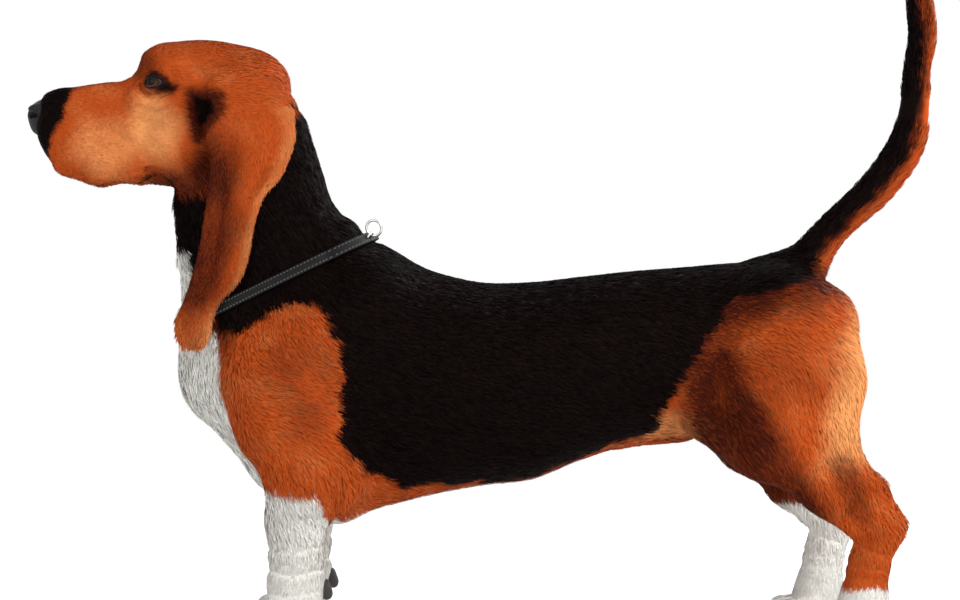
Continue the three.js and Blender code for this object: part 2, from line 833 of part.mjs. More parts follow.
// Lower jaw, which the lips of the upper one hang over
add(
  "lower_jaw",
  solidOf(surface(lowerJaw, lines([-402, -266, 11]), lines([-44, 44, 11]), lines([412, 489, 11]))),
  "tan",
);

// Head
const headLines = [
  lines([-440, -286, 11.5], [-286, -156, 13]),
  lines([-88, 88, 11.5]),
  lines([378, 587, 11.5]),
];
const headSkin = surface(fleshAndHead, ...headLines);
let headSolid = within(solidOf(headSkin), headSide);
headSolid = headSolid.subtract(solidOf(surface(...noseLines(GAP))));
headSolid = headSolid.subtract(
  solidOf(surface(jawRoom, lines([-402, -266, 11]), lines([-44, 44, 11]), lines([401, 489, 11]))),
);
const lipCleft = egg([-408, 0, 452], [1.6, 5, 22], new THREE.Vector3(0.45, 0, -1));
headSolid = headSolid.subtract(lipCleft);
const eyeRoom = egg(EYE, [EYE_RADIUS + GAP, EYE_RADIUS + GAP, EYE_RADIUS + GAP], UP, 12);
const [eyeX, eyeY, eyeZ] = new THREE.Vector3(...EYE).addScaledVector(EYE_WAY, 9).toArray();
const eyeOpening = egg([eyeX, eyeY, eyeZ - 0.5], [9, 6, 8], EYE_WAY, 14);
const lidRim = solidOf(
  new THREE.TorusGeometry(1, 0.2, 5, 14),
  facing([eyeX, eyeY, eyeZ - 0.5], EYE_WAY).scale(new THREE.Vector3(9.6, 7, 8)),
);
headSolid = wasm.Manifold.union([headSolid, lidRim, mirrored(lidRim)]);
for (const room of [eyeRoom, mirrored(eyeRoom), eyeOpening, mirrored(eyeOpening)])
  headSolid = headSolid.subtract(room);
add("head", headSolid, "tan");

// Eyes
addPair("eye", egg(EYE, [EYE_RADIUS, EYE_RADIUS, EYE_RADIUS], UP, 12), "eye");

// Ears: a long leather flap, cupped where it leaves the skull. Stations down the ear are
// [height, front edge, rear edge, out from the middle plane, bulge, roll of the front edge].
const EAR = [
  [532, -246, -200, 40, 6, 0],
  [516, -256, -184, 46, 9, 1],
  [498, -260, -176, 52, 15, 5],
  [476, -255, -173, 57, 19, 8],
  [452, -249, -174, 61, 20, 9],
  [438, -248, -180, 63, 18, 9],
  [420, -248, -196, 66, 15, 8],
  [392, -251, -205, 69, 12, 7],
  [364, -256, -210, 71, 10, 6],
  [342, -262, -220, 73, 9, 6],
  [322, -267, -238, 74, 8, 5],
  [304, -275, -243, 75, 9, 9],
  [288, -273, -246, 76, 6, 8],
  [280, -266, -253, 76, 3, 2],
];
const EAR_THICK = 5;
const EAR_ROWS = 13;
const EAR_COLUMNS = 9;
const EAR_CLEAR = 2.2; // from the neck and cheek to the flap that hangs over them

// A place on the middle of the flap: u from the front edge to the rear edge, v down the ear
function earPlace(u, v) {
  const down = EAR[0][0] + (EAR[EAR.length - 1][0] - EAR[0][0]) * v;
  const stations = [...EAR].reverse();
  const [z, front, rear, out, bulge, roll] = between(stations, down);
  const arch = Math.sin(Math.PI * Math.min(1, u * 0.9 + 0.1));
  const rolled = roll * Math.exp(-((u / 0.16) ** 2));
  const folds = 1.8 * Math.sin(u * 9 + v * 2) * Math.sin(Math.PI * v);
  const edge = 6 * (2 * u - 1) ** 2 * Math.sin(Math.PI * v);
  const p = new THREE.Vector3(front + (rear - front) * u, out + bulge * arch + rolled + folds, z + edge);
  return p;
}

function earGeometry() {
  const rows = [];
  for (let r = 0; r <= EAR_ROWS; r++) {
    const v = r / EAR_ROWS;
    const outer = [];
    const inner = [];
    for (let c = 0; c <= EAR_COLUMNS; c++) {
      const u = c / EAR_COLUMNS;
      const e = 0.02;
      const across = earPlace(Math.min(1, u + e), v).sub(earPlace(Math.max(0, u - e), v));
      const along = earPlace(u, Math.min(1, v + e)).sub(earPlace(u, Math.max(0, v - e)));
      const out = across.cross(along).normalize();
      if (out.y < 0) out.negate();
      const edge = Math.min(u, 1 - u) * 4;
      const half = (EAR_THICK / 2) * Math.sqrt(Math.min(1, 0.2 + edge)) * (v > 0.95 ? 0.6 : 1);
      const middle = earPlace(u, v);
      const lifted = middle.clone().addScaledVector(out, -half);
      if (v > 0.14) {
        for (let n = 0; n < 12; n++) {
          const clear = fleshAndHead(lifted.x, lifted.y, lifted.z) - EAR_CLEAR;
          if (clear < 0) lifted.addScaledVector(new THREE.Vector3(0, 1, 0), -clear);
        }
      }
      inner.push(lifted);
      outer.push(lifted.clone().addScaledVector(out, 2 * half));
    }
    rows.push([...outer, ...inner.reverse()]);
  }
  return tube(rows);
}

// A closed skin over a row of rings that all have the same number of points. A hoop joins its
// last ring to its first, anything else has its two ends closed.
function tube(rings, hoop = false) {
  const count = rings[0].length;
  const points = rings.flat();
  const index = [];
  for (let r = 0; r + (hoop ? 0 : 1) < rings.length; r++)
    for (let c = 0; c < count; c++) {
      const next = (c + 1) % count;
      const upper = ((r + 1) % rings.length) * count;
      index.push(r * count + c, r * count + next, upper + next);
      index.push(r * count + c, upper + next, upper + c);
    }
  if (!hoop) {
    const last = (rings.length - 1) * count;
    for (const start of [0, last]) {
      const mean = new THREE.Vector3();
      for (let c = 0; c < count; c++) mean.add(points[start + c]);
      const middle = points.push(mean.divideScalar(count)) - 1;
      for (let c = 0; c < count; c++) {
        const [a, b] = [start + c, start + ((c + 1) % count)];
        index.push(middle, ...(start ? [a, b] : [b, a]));
      }
    }
  }
  const position = new Float32Array(points.flatMap((p) => [p.x, p.y, p.z]));
  return new THREE.BufferGeometry()
    .setAttribute("position", new THREE.BufferAttribute(position, 3))
    .setIndex(index);
}
const earSolid = solidOf(earGeometry()).subtract(solidOf(swollen(fleshAndHead, headSkin)));
addPair("ear", earSolid, "tan");

// Legs in front
const forelegSolid = solidOf(
  surface(flesh, lines([-244, -98, 12]), lines([18, 142, 12]), lines([24, 152, 12])),
);
const forelegRoom = block([-300, KEEL_HALF + CUT, -10], [-60, 170, FORELEG_CUT - CUT]);
addPair("foreleg", within(forelegSolid, aboveForePaw, forelegRoom), "white");

// Paws with their claws
function claws(kind) {
  return TOES.map((across) => {
    const { tip, way } = toePlaces(kind, across);
    const horn = new THREE.ConeGeometry(4.4 * kind.size, 20 * kind.size, 8);
    const pointing = new THREE.Vector3(way[0], way[1], -0.42).normalize();
    const middle = new THREE.Vector3(...tip).addScaledVector(pointing, 12 * kind.size);
    const turn = new THREE.Quaternion().setFromUnitVectors(new THREE.Vector3(0, 1, 0), pointing);
    return solidOf(
      horn,
      new THREE.Matrix4().compose(middle, turn, new THREE.Vector3(1, 1, 1)),
    );
  });
}
const PAW_STEP = 10;
const PAW_HEIGHTS = lines([-20, 80, PAW_STEP]);
function forepaw() {
  const body = solidOf(surface(flesh, lines([-268, -118, PAW_STEP]), lines([11, 151, PAW_STEP]), PAW_HEIGHTS));
  return within(wasm.Manifold.union([body, ...claws(FORE_PAW)]), forePawSide, aboveFloor);
}
addPair("forepaw", forepaw(), "white");

// Legs behind; the right ones stand a step further forward
const hindX = lines([170, 425, 15]);
for (const [side, name] of [[-1, "left"], [1, "right"]]) {
  const across = (from, to, step) =>
    side > 0 ? lines([from, to, step]) : lines([-to, -from, step]);
  const leg = solidOf(surface(flesh, hindX, across(-30, 150, 15), lines([60, 285, 15])));
  add(`hind_leg_${name}`, within(leg, hindSide, aboveHock, halves[name]), "tan");
  const shank = solidOf(surface(flesh, lines([280, 424, 12]), across(28, 136, 12), lines([24, 132, 12])));
  add(`rear_pastern_${name}`, within(shank, belowHock, aboveHindPaw), "white");
  const sole = solidOf(surface(flesh, lines([256, 416, PAW_STEP]), across(19, 149, PAW_STEP), PAW_HEIGHTS));
  const horns = claws(HIND_PAW).map((claw) =>
    side > 0 ? claw.translate([-FAR_STEP, 0, 0]) : mirrored(claw),
  );
  const hindpaw = wasm.Manifold.union([sole, ...horns]);
  add(`hindpaw_${name}`, within(hindpaw, hindPawSide, aboveFloor), "white");
}

// Tail in three lengths
const [upperTail, tailFoot] = sides([395, 0, 452], new THREE.Vector3(0.4, 0, 0.92));
const [tailEnd, lowerTail] = sides([418, 0, 560], UP);
const tailSolid = solidOf(
  surface(flesh, lines([280, 460, 12]), lines([-42, 42, 12]), lines([325, 685, 12])),
);
add("tail_root", within(tailSolid, tailSide, tailFoot), "black");
add("tail_middle", within(tailSolid, upperTail, lowerTail), "black");
add("tail_tip", within(tailSolid, tailEnd), "white");

export default dog;
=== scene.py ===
import math

import bpy
import numpy as np
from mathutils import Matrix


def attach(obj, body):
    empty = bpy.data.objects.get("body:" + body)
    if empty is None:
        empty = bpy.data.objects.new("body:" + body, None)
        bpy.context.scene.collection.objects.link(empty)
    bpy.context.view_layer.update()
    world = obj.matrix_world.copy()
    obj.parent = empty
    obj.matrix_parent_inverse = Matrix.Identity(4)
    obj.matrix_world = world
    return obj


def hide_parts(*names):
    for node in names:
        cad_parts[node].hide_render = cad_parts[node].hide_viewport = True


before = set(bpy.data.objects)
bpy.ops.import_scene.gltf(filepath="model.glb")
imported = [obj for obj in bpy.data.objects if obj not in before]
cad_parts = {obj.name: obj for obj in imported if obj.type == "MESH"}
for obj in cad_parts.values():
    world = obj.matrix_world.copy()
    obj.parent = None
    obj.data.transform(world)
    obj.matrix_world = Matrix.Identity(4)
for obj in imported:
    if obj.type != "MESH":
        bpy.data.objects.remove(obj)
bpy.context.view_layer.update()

# ---- View ----
# The dog is seen from its left side, at the height of its shoulder, from about three metres away.
# Everything is measured in millimetres as in the solids, and only meshes and lights are in metres.
MM = 0.001
VIEW_DISTANCE = 3200
VIEW_HEIGHT = 323
SEEN_WIDTH = 912

lens = bpy.data.cameras.new("side_view")
lens.sensor_width = 36
lens.lens = 36 * VIEW_DISTANCE / SEEN_WIDTH
camera = bpy.data.objects.new("side_view", lens)
camera.location = (0, -VIEW_DISTANCE * MM, VIEW_HEIGHT * MM)
camera.rotation_euler = (math.pi / 2, 0, 0)
bpy.context.scene.collection.objects.link(camera)
bpy.context.scene.camera = camera

# ---- Trunk ----
# The barrel of the ribs, the loin and the rump of a heavy, long and low hound.
# Skin and muscle lie over the ribs and run without a seam into neck, legs and tail.
# Its forms are distances to named shapes, and they melt into each other over a given width.
FAR = 900.0


def melt(a, b, width):
    near = np.maximum(width - np.abs(a - b), 0.0) / width
    return np.minimum(a, b) - near * near * width / 4


def carve(a, b, width):
    return -melt(-a, b, width)


def smooth(value, start, end):
    t = np.clip((value - start) / (end - start), 0.0, 1.0)
    return t * t * (3 - 2 * t)


def within(p, low, high):
    return np.all((p > low) & (p < high), axis=1)


def ball(centre, radii, pitch=0.0):
    """A ball with three radii, its nose end pitched down by some degrees."""
    centre, radii = np.array(centre, float), np.array(radii, float)
    c, s = math.cos(math.radians(pitch)), math.sin(math.radians(pitch))
    margin = radii.max() + 40

    def distance(p):
        out = np.full(len(p), FAR)
        held = within(p, centre - margin, centre + margin)
        d = p[held] - centre
        turned = np.stack([d[:, 0] * c + d[:, 2] * s, d[:, 1], d[:, 2] * c - d[:, 0] * s], axis=1)
        k0 = np.linalg.norm(turned / radii, axis=1)
        k1 = np.linalg.norm(turned / radii**2, axis=1)
        out[held] = np.where(k1 < 1e-9, -radii.min(), k0 * (k0 - 1) / np.maximum(k1, 1e-9))
        return out

    return distance


def limb(points, flat=1.0, softness=6.0):
    """Round cones through points x, y, z, radius, widened across by flat."""
    points = np.array(points, float)
    margin = points[:, 3].max() * max(flat, 1) + 40
    low, high = points[:, :3].min(0) - margin, points[:, :3].max(0) + margin

    def distance(p):
        out = np.full(len(p), FAR)
        held = within(p, low, high)
        q = p[held]
        nearest = None
        for a, b in zip(points[:-1], points[1:]):
            e = b[:3] - a[:3]
            t = np.clip((q - a[:3]) @ e / (e @ e), 0, 1)
            off = q - a[:3] - t[:, None] * e
            off[:, 1] /= flat
            d = np.linalg.norm(off, axis=1) - (a[3] + (b[3] - a[3]) * t)
            nearest = d if nearest is None else melt(nearest, d, softness)
        out[held] = nearest
        return out

    return distance


def between(stations, at):
    """Columns of values between stations, on a smooth curve through them."""
    s = np.array(stations, float)
    u = np.clip(at, s[0, 0], s[-1, 0])
    i = np.clip(np.searchsorted(s[:, 0], u, side="right") - 1, 0, len(s) - 2)
    tangents = np.empty_like(s)
    tangents[1:-1] = (s[2:] - s[:-2]) / (s[2:, :1] - s[:-2, :1])
    tangents[0] = (s[1] - s[0]) / (s[1, 0] - s[0, 0])
    tangents[-1] = (s[-1] - s[-2]) / (s[-1, 0] - s[-2, 0])
    span = (s[i + 1, 0] - s[i, 0])[:, None]
    t = ((u - s[i, 0]) / span[:, 0])[:, None]
    t2, t3 = t * t, t * t * t
    return (
        (2 * t3 - 3 * t2 + 1) * s[i]
        + (t3 - 2 * t2 + t) * span * tangents[i]
        + (3 * t2 - 2 * t3) * s[i + 1]
        + (t3 - t2) * span * tangents[i + 1]
    ).T[1:]


def barrel(stations, squareness, rounding, upright=False):
    """A body between an upper and a lower line: place, high, low, half width, widest height."""
    s = np.array(stations, float)
    first, last = s[0, 0], s[-1, 0]
    axis, other = (2, 0) if upright else (0, 2)
    low, high = np.full(3, -160.0), np.full(3, 160.0)
    low[axis], high[axis] = first - 60, last + 60
    low[other], high[other] = s[:, 1:3].min() - 60, s[:, 1:3].max() + 60

    def distance(p):
        out = np.full(len(p), FAR)
        held = within(p, low, high)
        at, across = p[held, axis], p[held, other]
        top, bottom, half, widest = between(stations, at)
        reach = np.where(across > widest, top - widest, widest - bottom)
        v = np.abs(across - widest) / reach
        u = np.abs(p[held, 1]) / half
        g = (u**squareness + v**squareness) ** (1 / squareness)
        side = (g - 1) * np.minimum(half, reach)
        end = np.abs(at - (first + last) / 2) - (last - first) / 2
        out[held] = carve(side, -end, rounding)
        return out

    return distance


TRUNK = [
    [-276, 322, 240, 44, 285], [-256, 338, 212, 60, 275], [-222, 355, 175, 74, 262],
    [-180, 368, 130, 84, 252], [-135, 372, 113, 91, 246], [-92, 368, 125, 98, 244],
    [-47, 352, 137, 102, 242], [0, 341, 146, 103, 242], [48, 341, 152, 100, 246],
    [95, 346, 170, 93, 254], [140, 351, 184, 84, 264], [190, 355, 190, 77, 274],
    [240, 359, 194, 77, 282], [290, 360, 206, 76, 290], [330, 345, 226, 66, 288],
]
trunk = barrel(TRUNK, 2.25, 34)
breast = ball([-256, 0, 262], [22, 34, 42], -14)
keel = limb([[-242, 0, 224, 20], [-194, 0, 172, 24], [-142, 0, 142, 24]], 1.2, 16)
sheath = limb([[130, 0, 193, 8], [188, 0, 199, 9]], 0.9)
flank = limb([[205, 62, 214, 20], [250, 82, 186, 22]], 0.7, 14)

# ---- Neck ----
# A strong neck carried upright, with loose skin that rolls at the nape and hangs at the throat.
# It widens downwards into shoulders and breast, and the strap collar lies on that line.
neck = barrel(
    [
        [235, -90, -262, 58, -190],
        [290, -78, -274, 64, -190],
        [330, -82, -278, 66, -190],
        [362, -92, -281, 65, -195],
        [390, -119, -283, 62, -205],
        [418, -139, -288, 58, -216],
        [445, -148, -292, 55, -222],
        [475, -158, -284, 52, -225],
        [500, -170, -262, 48, -222],
    ],
    2.1,
    20,
    upright=True,
)
nape_roll = ball([-132, 0, 387], [14, 36, 13], 30)
crest = ball([-181, 0, 492], [13, 26, 18], 20)
dewlap = limb([[-281, 13, 412, 9], [-277, 17, 362, 9], [-269, 20, 318, 8]], 0.8)
# Folds are drawn as lines in the side view: how deep, how wide, and the places x, z.
NECK_FOLDS = [
    (2.6, 4.5, [(-290, 408), (-262, 396), (-228, 401)]),
    (2.2, 4.5, [(-286, 382), (-262, 366), (-226, 374)]),
    (1.6, 4.0, [(-278, 350), (-254, 338), (-224, 344)]),
    (2.4, 5.0, [(-168, 404), (-150, 378), (-138, 350)]),
]


def grooves(side, folds):
    """How much the folds take away from a form, for points of one side."""
    total = np.zeros(len(side))
    for depth, wide, line in folds:
        line = np.array(line, float)
        low, high = line.min(0) - 3 * wide, line.max(0) + 3 * wide
        flat = side[:, [0, 2]]
        held = np.all((flat > low) & (flat < high), axis=1)
        q = flat[held]
        near = np.full(len(q), 1e9)
        for a, b in zip(line[:-1], line[1:]):
            e = b - a
            t = np.clip((q - a) @ e / (e @ e), 0, 1)
            near = np.minimum(near, np.linalg.norm(q - a - t[:, None] * e, axis=1))
        total[held] += depth * np.exp(-((near / wide) ** 2)) * smooth(side[held, 1], 12, 28)
    return total


# ---- Legs ----
# Short, thick legs: the shoulder and upper arm lie on the ribs, the forearm is nearly straight,
# and the loose skin folds at wrist and hock. The thigh is full and the hock stands well back.
# The right hind leg stands a step further forward.
WRIST = [-171, 66, 64]
HOCK = [368, 82, 108]
FAR_STEP = 25
shoulder = limb(
    [
        [-112, 56, 322, 32],
        [-160, 66, 285, 36],
        [-196, 72, 250, 36],
        [-188, 80, 205, 35],
        [-152, 88, 158, 37],
    ],
    0.95,
    20,
)
forearm = limb([[-166, 84, 165, 35], [-170, 76, 120, 29.5], [*WRIST, 26.5], [-174, 70, 38, 25]])
elbow = ball([-131, 92, 152], [14, 15, 19])
thigh = limb([[282, 58, 296, 54], [272, 74, 238, 51], [267, 92, 194, 35]], 0.9, 26)
ham = limb([[322, 44, 300, 30], [320, 62, 250, 34], [316, 74, 200, 37]], 0.95, 24)
second_thigh = limb([[277, 92, 188, 34], [324, 86, 152, 28], [*HOCK, 21]], 0.85, 14)
hamstring = limb([[337, 78, 178, 17], [364, 80, 148, 12.5], [384, 82, 118, 11.5]], 0.8, 12)
rear_pastern = limb([[*HOCK, 22], [360, 80, 76, 20.5], [354, 80, 38, 21]], 0.95)
hollow_of_hock = ball([352, 103, 128], [20, 7, 9], 55)
LEG_FOLDS = [
    (1.3, 3.5, [(-202, 74), (-172, 69), (-140, 76)]),
    (1.0, 3.5, [(-204, 96), (-172, 92), (-142, 98)]),
    (0.9, 3.0, [(-206, 54), (-180, 50), (-150, 54)]),
    (2.8, 5.5, [(-118, 190), (-119, 160), (-134, 134)]),
]
HOCK_FOLDS = [
    (1.3, 3.5, [(338, 104), (356, 96), (372, 90)]),
    (1.0, 3.0, [(330, 84), (352, 78), (372, 76)]),
    (2.0, 5.0, [(322, 188), (340, 158), (352, 132)]),
]


# ---- Paws ----
# Broad paws with four arched toes each over thick pads, turned a little outwards in front.
# The soles are flat on the floor, and the claws are set in the tips of the toes.
TOES = [-1.5, -0.5, 0.5, 1.5]
TOE_PITCH = 19
FORE_PAW = {"at": (-178, 76), "turn": 12, "size": 1.0, "heel": WRIST}
HIND_PAW = {"at": (340, 82), "turn": 5, "size": 0.9, "heel": [356, 80, 50]}


def toe_places(kind, across):
    """Root, knuckle and tip of a toe, and the way it points on the floor."""
    (px, py), size = kind["at"], kind["size"]
    a = math.radians(kind["turn"] + across * 5)
    b = math.radians(kind["turn"])
    reach = 27 if abs(across) > 1 else 38

    def place(forward, spread, height):
        x = px - size * (forward * math.cos(a) - spread * across * TOE_PITCH * math.sin(b))
        y = py + size * (forward * math.sin(a) + spread * across * TOE_PITCH * math.cos(b))
        return [x, y, height * size]

    way = np.array([-math.cos(a), math.sin(a), 0.0])
    return place(-10, 0.7, 25), place(reach - 15, 0.95, 23), place(reach, 1, 10.5), way


def paw(kind):
    (px, py), size = kind["at"], kind["size"]
    toes = []
    for across in TOES:
        root, knuckle, tip, _ = toe_places(kind, across)
        toes.append(limb([[*root, 14 * size], [*knuckle, 13.5 * size], [*tip, 11.5 * size]], 1, 8))
    pad = ball([px + 6 * size, py, 9 * size], [25 * size, 24 * size, 12 * size])
    back = limb([[*kind["heel"], 22 * size], [px + 6, py, 28 * size, 22 * size]], 1.1, 12)

    def distance(p):
        toed = toes[0](p)
        for toe in toes[1:]:
            toed = melt(toed, toe(p), 3.5)
        return melt(melt(back(p), pad(p), 10), toed, 7)

    return distance


fore_paw, hind_paw = paw(FORE_PAW), paw(HIND_PAW)

# ---- Tail ----
# Set high and carried upright in a slight curve, thick at its root and tapered to a fine end.
# Its hair is a little longer below than above.
TAIL = [
    [278, 0, 336, 26], [309, 0, 359, 21.5], [335, 0, 390, 17], [376, 0, 429, 18],
    [403, 0, 467, 18.5], [412, 0, 500, 16.5], [415, 0, 541, 14], [420, 0, 572, 14.5],
    [418, 0, 602, 14], [412, 0, 638, 10], [406, 0, 662, 5],
]
TAIL_LINE = between([[n, *row] for n, row in enumerate(TAIL)], np.linspace(0, len(TAIL) - 1, 41)).T
tail = limb(TAIL_LINE, 1, 1.0)


def one_side(p):
    """The same places on the left half of the body."""
    return np.column_stack([p[:, 0], np.abs(p[:, 1]), p[:, 2]])


def build_up(body, p, forms):
    """Melts one form after the other into a body, each over its own width."""
    for form, width in forms:
        body = melt(body, form(p), width)
    return body


FRONT_FORMS = [
    (breast, 24), (keel, 22), (shoulder, 34), (nape_roll, 9), (crest, 14),
    (dewlap, 14), (forearm, 16), (elbow, 18), (fore_paw, 10),
]
REAR_FORMS = [(thigh, 30), (ham, 26), (flank, 20), (sheath, 14), (tail, 22)]
HOCK_FORMS = [(second_thigh, 18), (hamstring, 14), (rear_pastern, 10)]


def flesh(p):
    """Distance from the whole body but its head, with the coat on."""
    side = one_side(p)
    d = melt(trunk(p), neck(p), 34)
    front, rear = p[:, 0] < -30, p[:, 0] > 90
    f = side[front]
    d[front] = build_up(d[front], f, FRONT_FORMS) + grooves(f, NECK_FOLDS + LEG_FOLDS)
    f = side[rear]
    step = np.where(p[rear, 1] > 0, FAR_STEP * smooth(195 - f[:, 2], 0, 90), 0)
    stepped = f + step[:, None] * [1, 0, 0]
    g = build_up(build_up(d[rear], f, REAR_FORMS), stepped, HOCK_FORMS)
    g = melt(carve(g, hollow_of_hock(stepped), 12), hind_paw(stepped), 10)
    d[rear] = g + grooves(stepped, HOCK_FOLDS)
    return d


# ---- Head ----
# A long, domed skull with heavy brows, a deep muzzle and hanging upper lips over the lower jaw.
# Thin loose skin covers it, with folds on the cheek and droopy lids round a sunken eye.
skull = barrel(
    [
        [-331, 535, 452, 30, 500],
        [-318, 552, 446, 37, 508],
        [-305, 565, 440, 45, 510],
        [-285, 569, 436, 53, 506],
        [-260, 570, 434, 58, 504],
        [-232, 567, 438, 58, 506],
        [-206, 560, 448, 52, 508],
        [-180, 543, 470, 34, 510],
    ],
    2.15,
    16,
)
muzzle = barrel(
    [
        [-422, 511, 476, 15, 495],
        [-412, 519.5, 461, 23, 486],
        [-400, 524.5, 445, 29, 478],
        [-385, 526, 437, 33, 470],
        [-365, 529, 433.5, 35.5, 468],
        [-345, 531.5, 433, 37, 470],
        [-322, 534, 435.5, 39.5, 476],
        [-296, 534, 444, 38, 484],
    ],
    2.5,
    12,
)
brow = ball([-297, 26, 547], [21, 16, 11], -14)
cheekbone = limb([[-322, 33, 512, 9], [-290, 44, 508, 12], [-250, 53, 508, 13]], 0.9, 10)
cheek = ball([-268, 36, 474], [42, 23, 36], 18)
ear_seat = ball([-222, 50, 508], [40, 17, 26], -12)
ear_hollow = ball([-261, 63, 497], [11, 13, 20], 8)
under_jaw = ball([-276, 0, 452], [36, 34, 18], 12)
flew = limb([[-392, 20, 452, 11], [-362, 25, 447, 13], [-324, 29, 449, 13], [-306, 34, 460, 12]], 0.9, 12)
stop_hollow = ball([-336, 0, 548], [16, 9, 12], 35)
temple_hollow = ball([-278, 60, 536], [22, 7, 10], -10)
lower_jaw = limb([[-375, 0, 453, 13.5], [-345, 0, 452, 16.5], [-300, 0, 452, 20]], 1.2, 8)
FACE_FOLDS = [
    (1.3, 3.0, [(-322, 505), (-302, 499), (-284, 503)]),
    (1.8, 4.5, [(-352, 484), (-326, 470), (-306, 450)]),
    (1.2, 3.5, [(-300, 486), (-286, 470), (-282, 452)]),
    (1.4, 4.0, [(-294, 556), (-276, 548), (-262, 534)]),
]
nose_room = ball([-410, 0, 500], [18, 16.5, 13], 12)
mouth_corner = limb([[-318, 37, 448, 1.5], [-306, 38, 444, 2.5], [-296, 37, 440, 1]], 1, 2)
lip_cleft = limb([[-424, 0, 482, 1.2], [-411, 0, 460, 1.4], [-398, 0, 443, 3]], 1, 2)

EYE = np.array([-303, 34.6, 527.0])
EYE_RADIUS = 10.6
EYE_WAY = np.array([-0.5, 0.85, 0.06]) / np.linalg.norm([-0.5, 0.85, 0.06])
EYE_LEVEL = np.cross([0, 0, 1], EYE_WAY) / np.linalg.norm(np.cross([0, 0, 1], EYE_WAY))
EYE_UP = np.cross(EYE_WAY, EYE_LEVEL)
socket = ball(EYE + [-4, 14, -2], [19, 12, 13])
LID_BALL = 13.3
lids = ball(EYE, [LID_BALL] * 3)


def jaw_room(p):
    """Room for the lower jaw between the lips, open below and a little wider there."""
    raised = np.column_stack([p[:, 0], p[:, 1], np.maximum(p[:, 2], 451)])
    return lower_jaw(raised) - 1.0 - np.maximum(0, 446 - p[:, 2]) * 0.12


LID_HALF = 8.4
UPPER_LID = 3.6
LOWER_LID = 5.4


def eye_shape(p, d):
    """Lids over the eyeball: a crease above, a bag below, and an opening with a drooping edge."""
    held = within(p, EYE - 40, EYE + 40)
    q = p[held] - EYE
    level, up, out = q @ EYE_LEVEL, q @ EYE_UP, q @ EYE_WAY
    g = carve(d[held], socket(p[held]), 8)
    g = melt(g, lids(p[held]), 7)
    crease = np.hypot(level / 12.5, up / 9.0)
    g = carve(g, np.where(up > 0, np.hypot((crease - 1) * 10, out - 9.5) - 0.8, 9.0), 3)
    bag = np.hypot(level / 14.0, up / 13.0)
    g = carve(g, np.where(up < 0, np.hypot((bag - 1) * 13, out - 7.5) - 0.8, 9.0), 4)
    height = np.where(up < 0, LOWER_LID, UPPER_LID)
    opening = np.sqrt((level / LID_HALF) ** 2 + (up / height) ** 2 + ((out - 9) / 9) ** 2)
    d[held] = carve(g, (opening - 1) * 4.5, 0.8)
    return d


HEAD_FORMS = [(brow, 18), (cheekbone, 12), (cheek, 14), (under_jaw, 16), (flew, 9), (ear_seat, 16)]
HEAD_HOLLOWS = [(ear_hollow, 8), (stop_hollow, 10), (temple_hollow, 16)]


def carve_out(body, p, hollows):
    """Takes one form after the other out of a body, each over its own width."""
    for hollow, width in hollows:
        body = carve(body, hollow(p), width)
    return body


def head(side):
    d = melt(skull(side), muzzle(side), 13)
    return carve_out(build_up(d, side, HEAD_FORMS), side, HEAD_HOLLOWS)


def flesh_and_head(p):
    """Distance from body and head, without the ears."""
    d = flesh(p)
    held = (p[:, 2] > 380) & (p[:, 0] < -120)
    side = one_side(p[held])
    g = carve(head(side), jaw_room(side), 2)
    g = melt(g, lower_jaw(side), 1.5)
    g = melt(d[held], g, 10)
    g = eye_shape(side, g) + grooves(side, FACE_FOLDS)
    d[held] = carve_out(g, side, [(nose_room, 1), (mouth_corner, 4), (lip_cleft, 3)])
    return d


# ---- Ears ----
# Long soft flaps of skin set low behind the eyes, cupped where they leave the skull.
# They hang past the throat, with soft upright folds and an end that curls inwards.
# Stations: height, front edge, rear edge, out from the middle, bulge, roll of the front edge.
EAR = [
    [280, -272, -258, 76, 3, 2],
    [288, -279, -251, 76, 6, 4],
    [304, -282, -248, 75, 9, 5],
    [322, -274, -241, 74, 8, 5],
    [342, -267, -223, 73, 9, 6],
    [364, -261, -215, 71, 10, 6],
    [392, -256, -210, 69, 12, 7],
    [420, -252, -201, 66, 15, 8],
    [438, -250, -186, 63, 18, 9],
    [452, -250, -179, 61, 20, 9],
    [476, -253, -173, 57, 19, 8],
    [498, -250, -176, 52, 15, 6],
    [516, -246, -184, 46, 9, 2],
    [532, -246, -200, 40, 6, 0],
]
EAR_THICK = 4.6
EAR_LOW = np.array([-290.0, 262.0])
EAR_STEP = 1.5
EAR_GRID = (92, 190)


def blur(table, times):
    for _ in range(times):
        for axis in (0, 1):
            table = (np.roll(table, 1, axis) + 2 * table + np.roll(table, -1, axis)) / 4
    return table


def reach(form, start, way, near, far, times):
    """How far from each start, along its way, a form ends."""
    near, far = np.full(len(start), float(near)), np.full(len(start), float(far))
    for _ in range(times):
        middle = (near + far) / 2
        inside = form(start + way * middle[:, None]) < 0
        near, far = np.where(inside, middle, near), np.where(inside, far, middle)
    return near


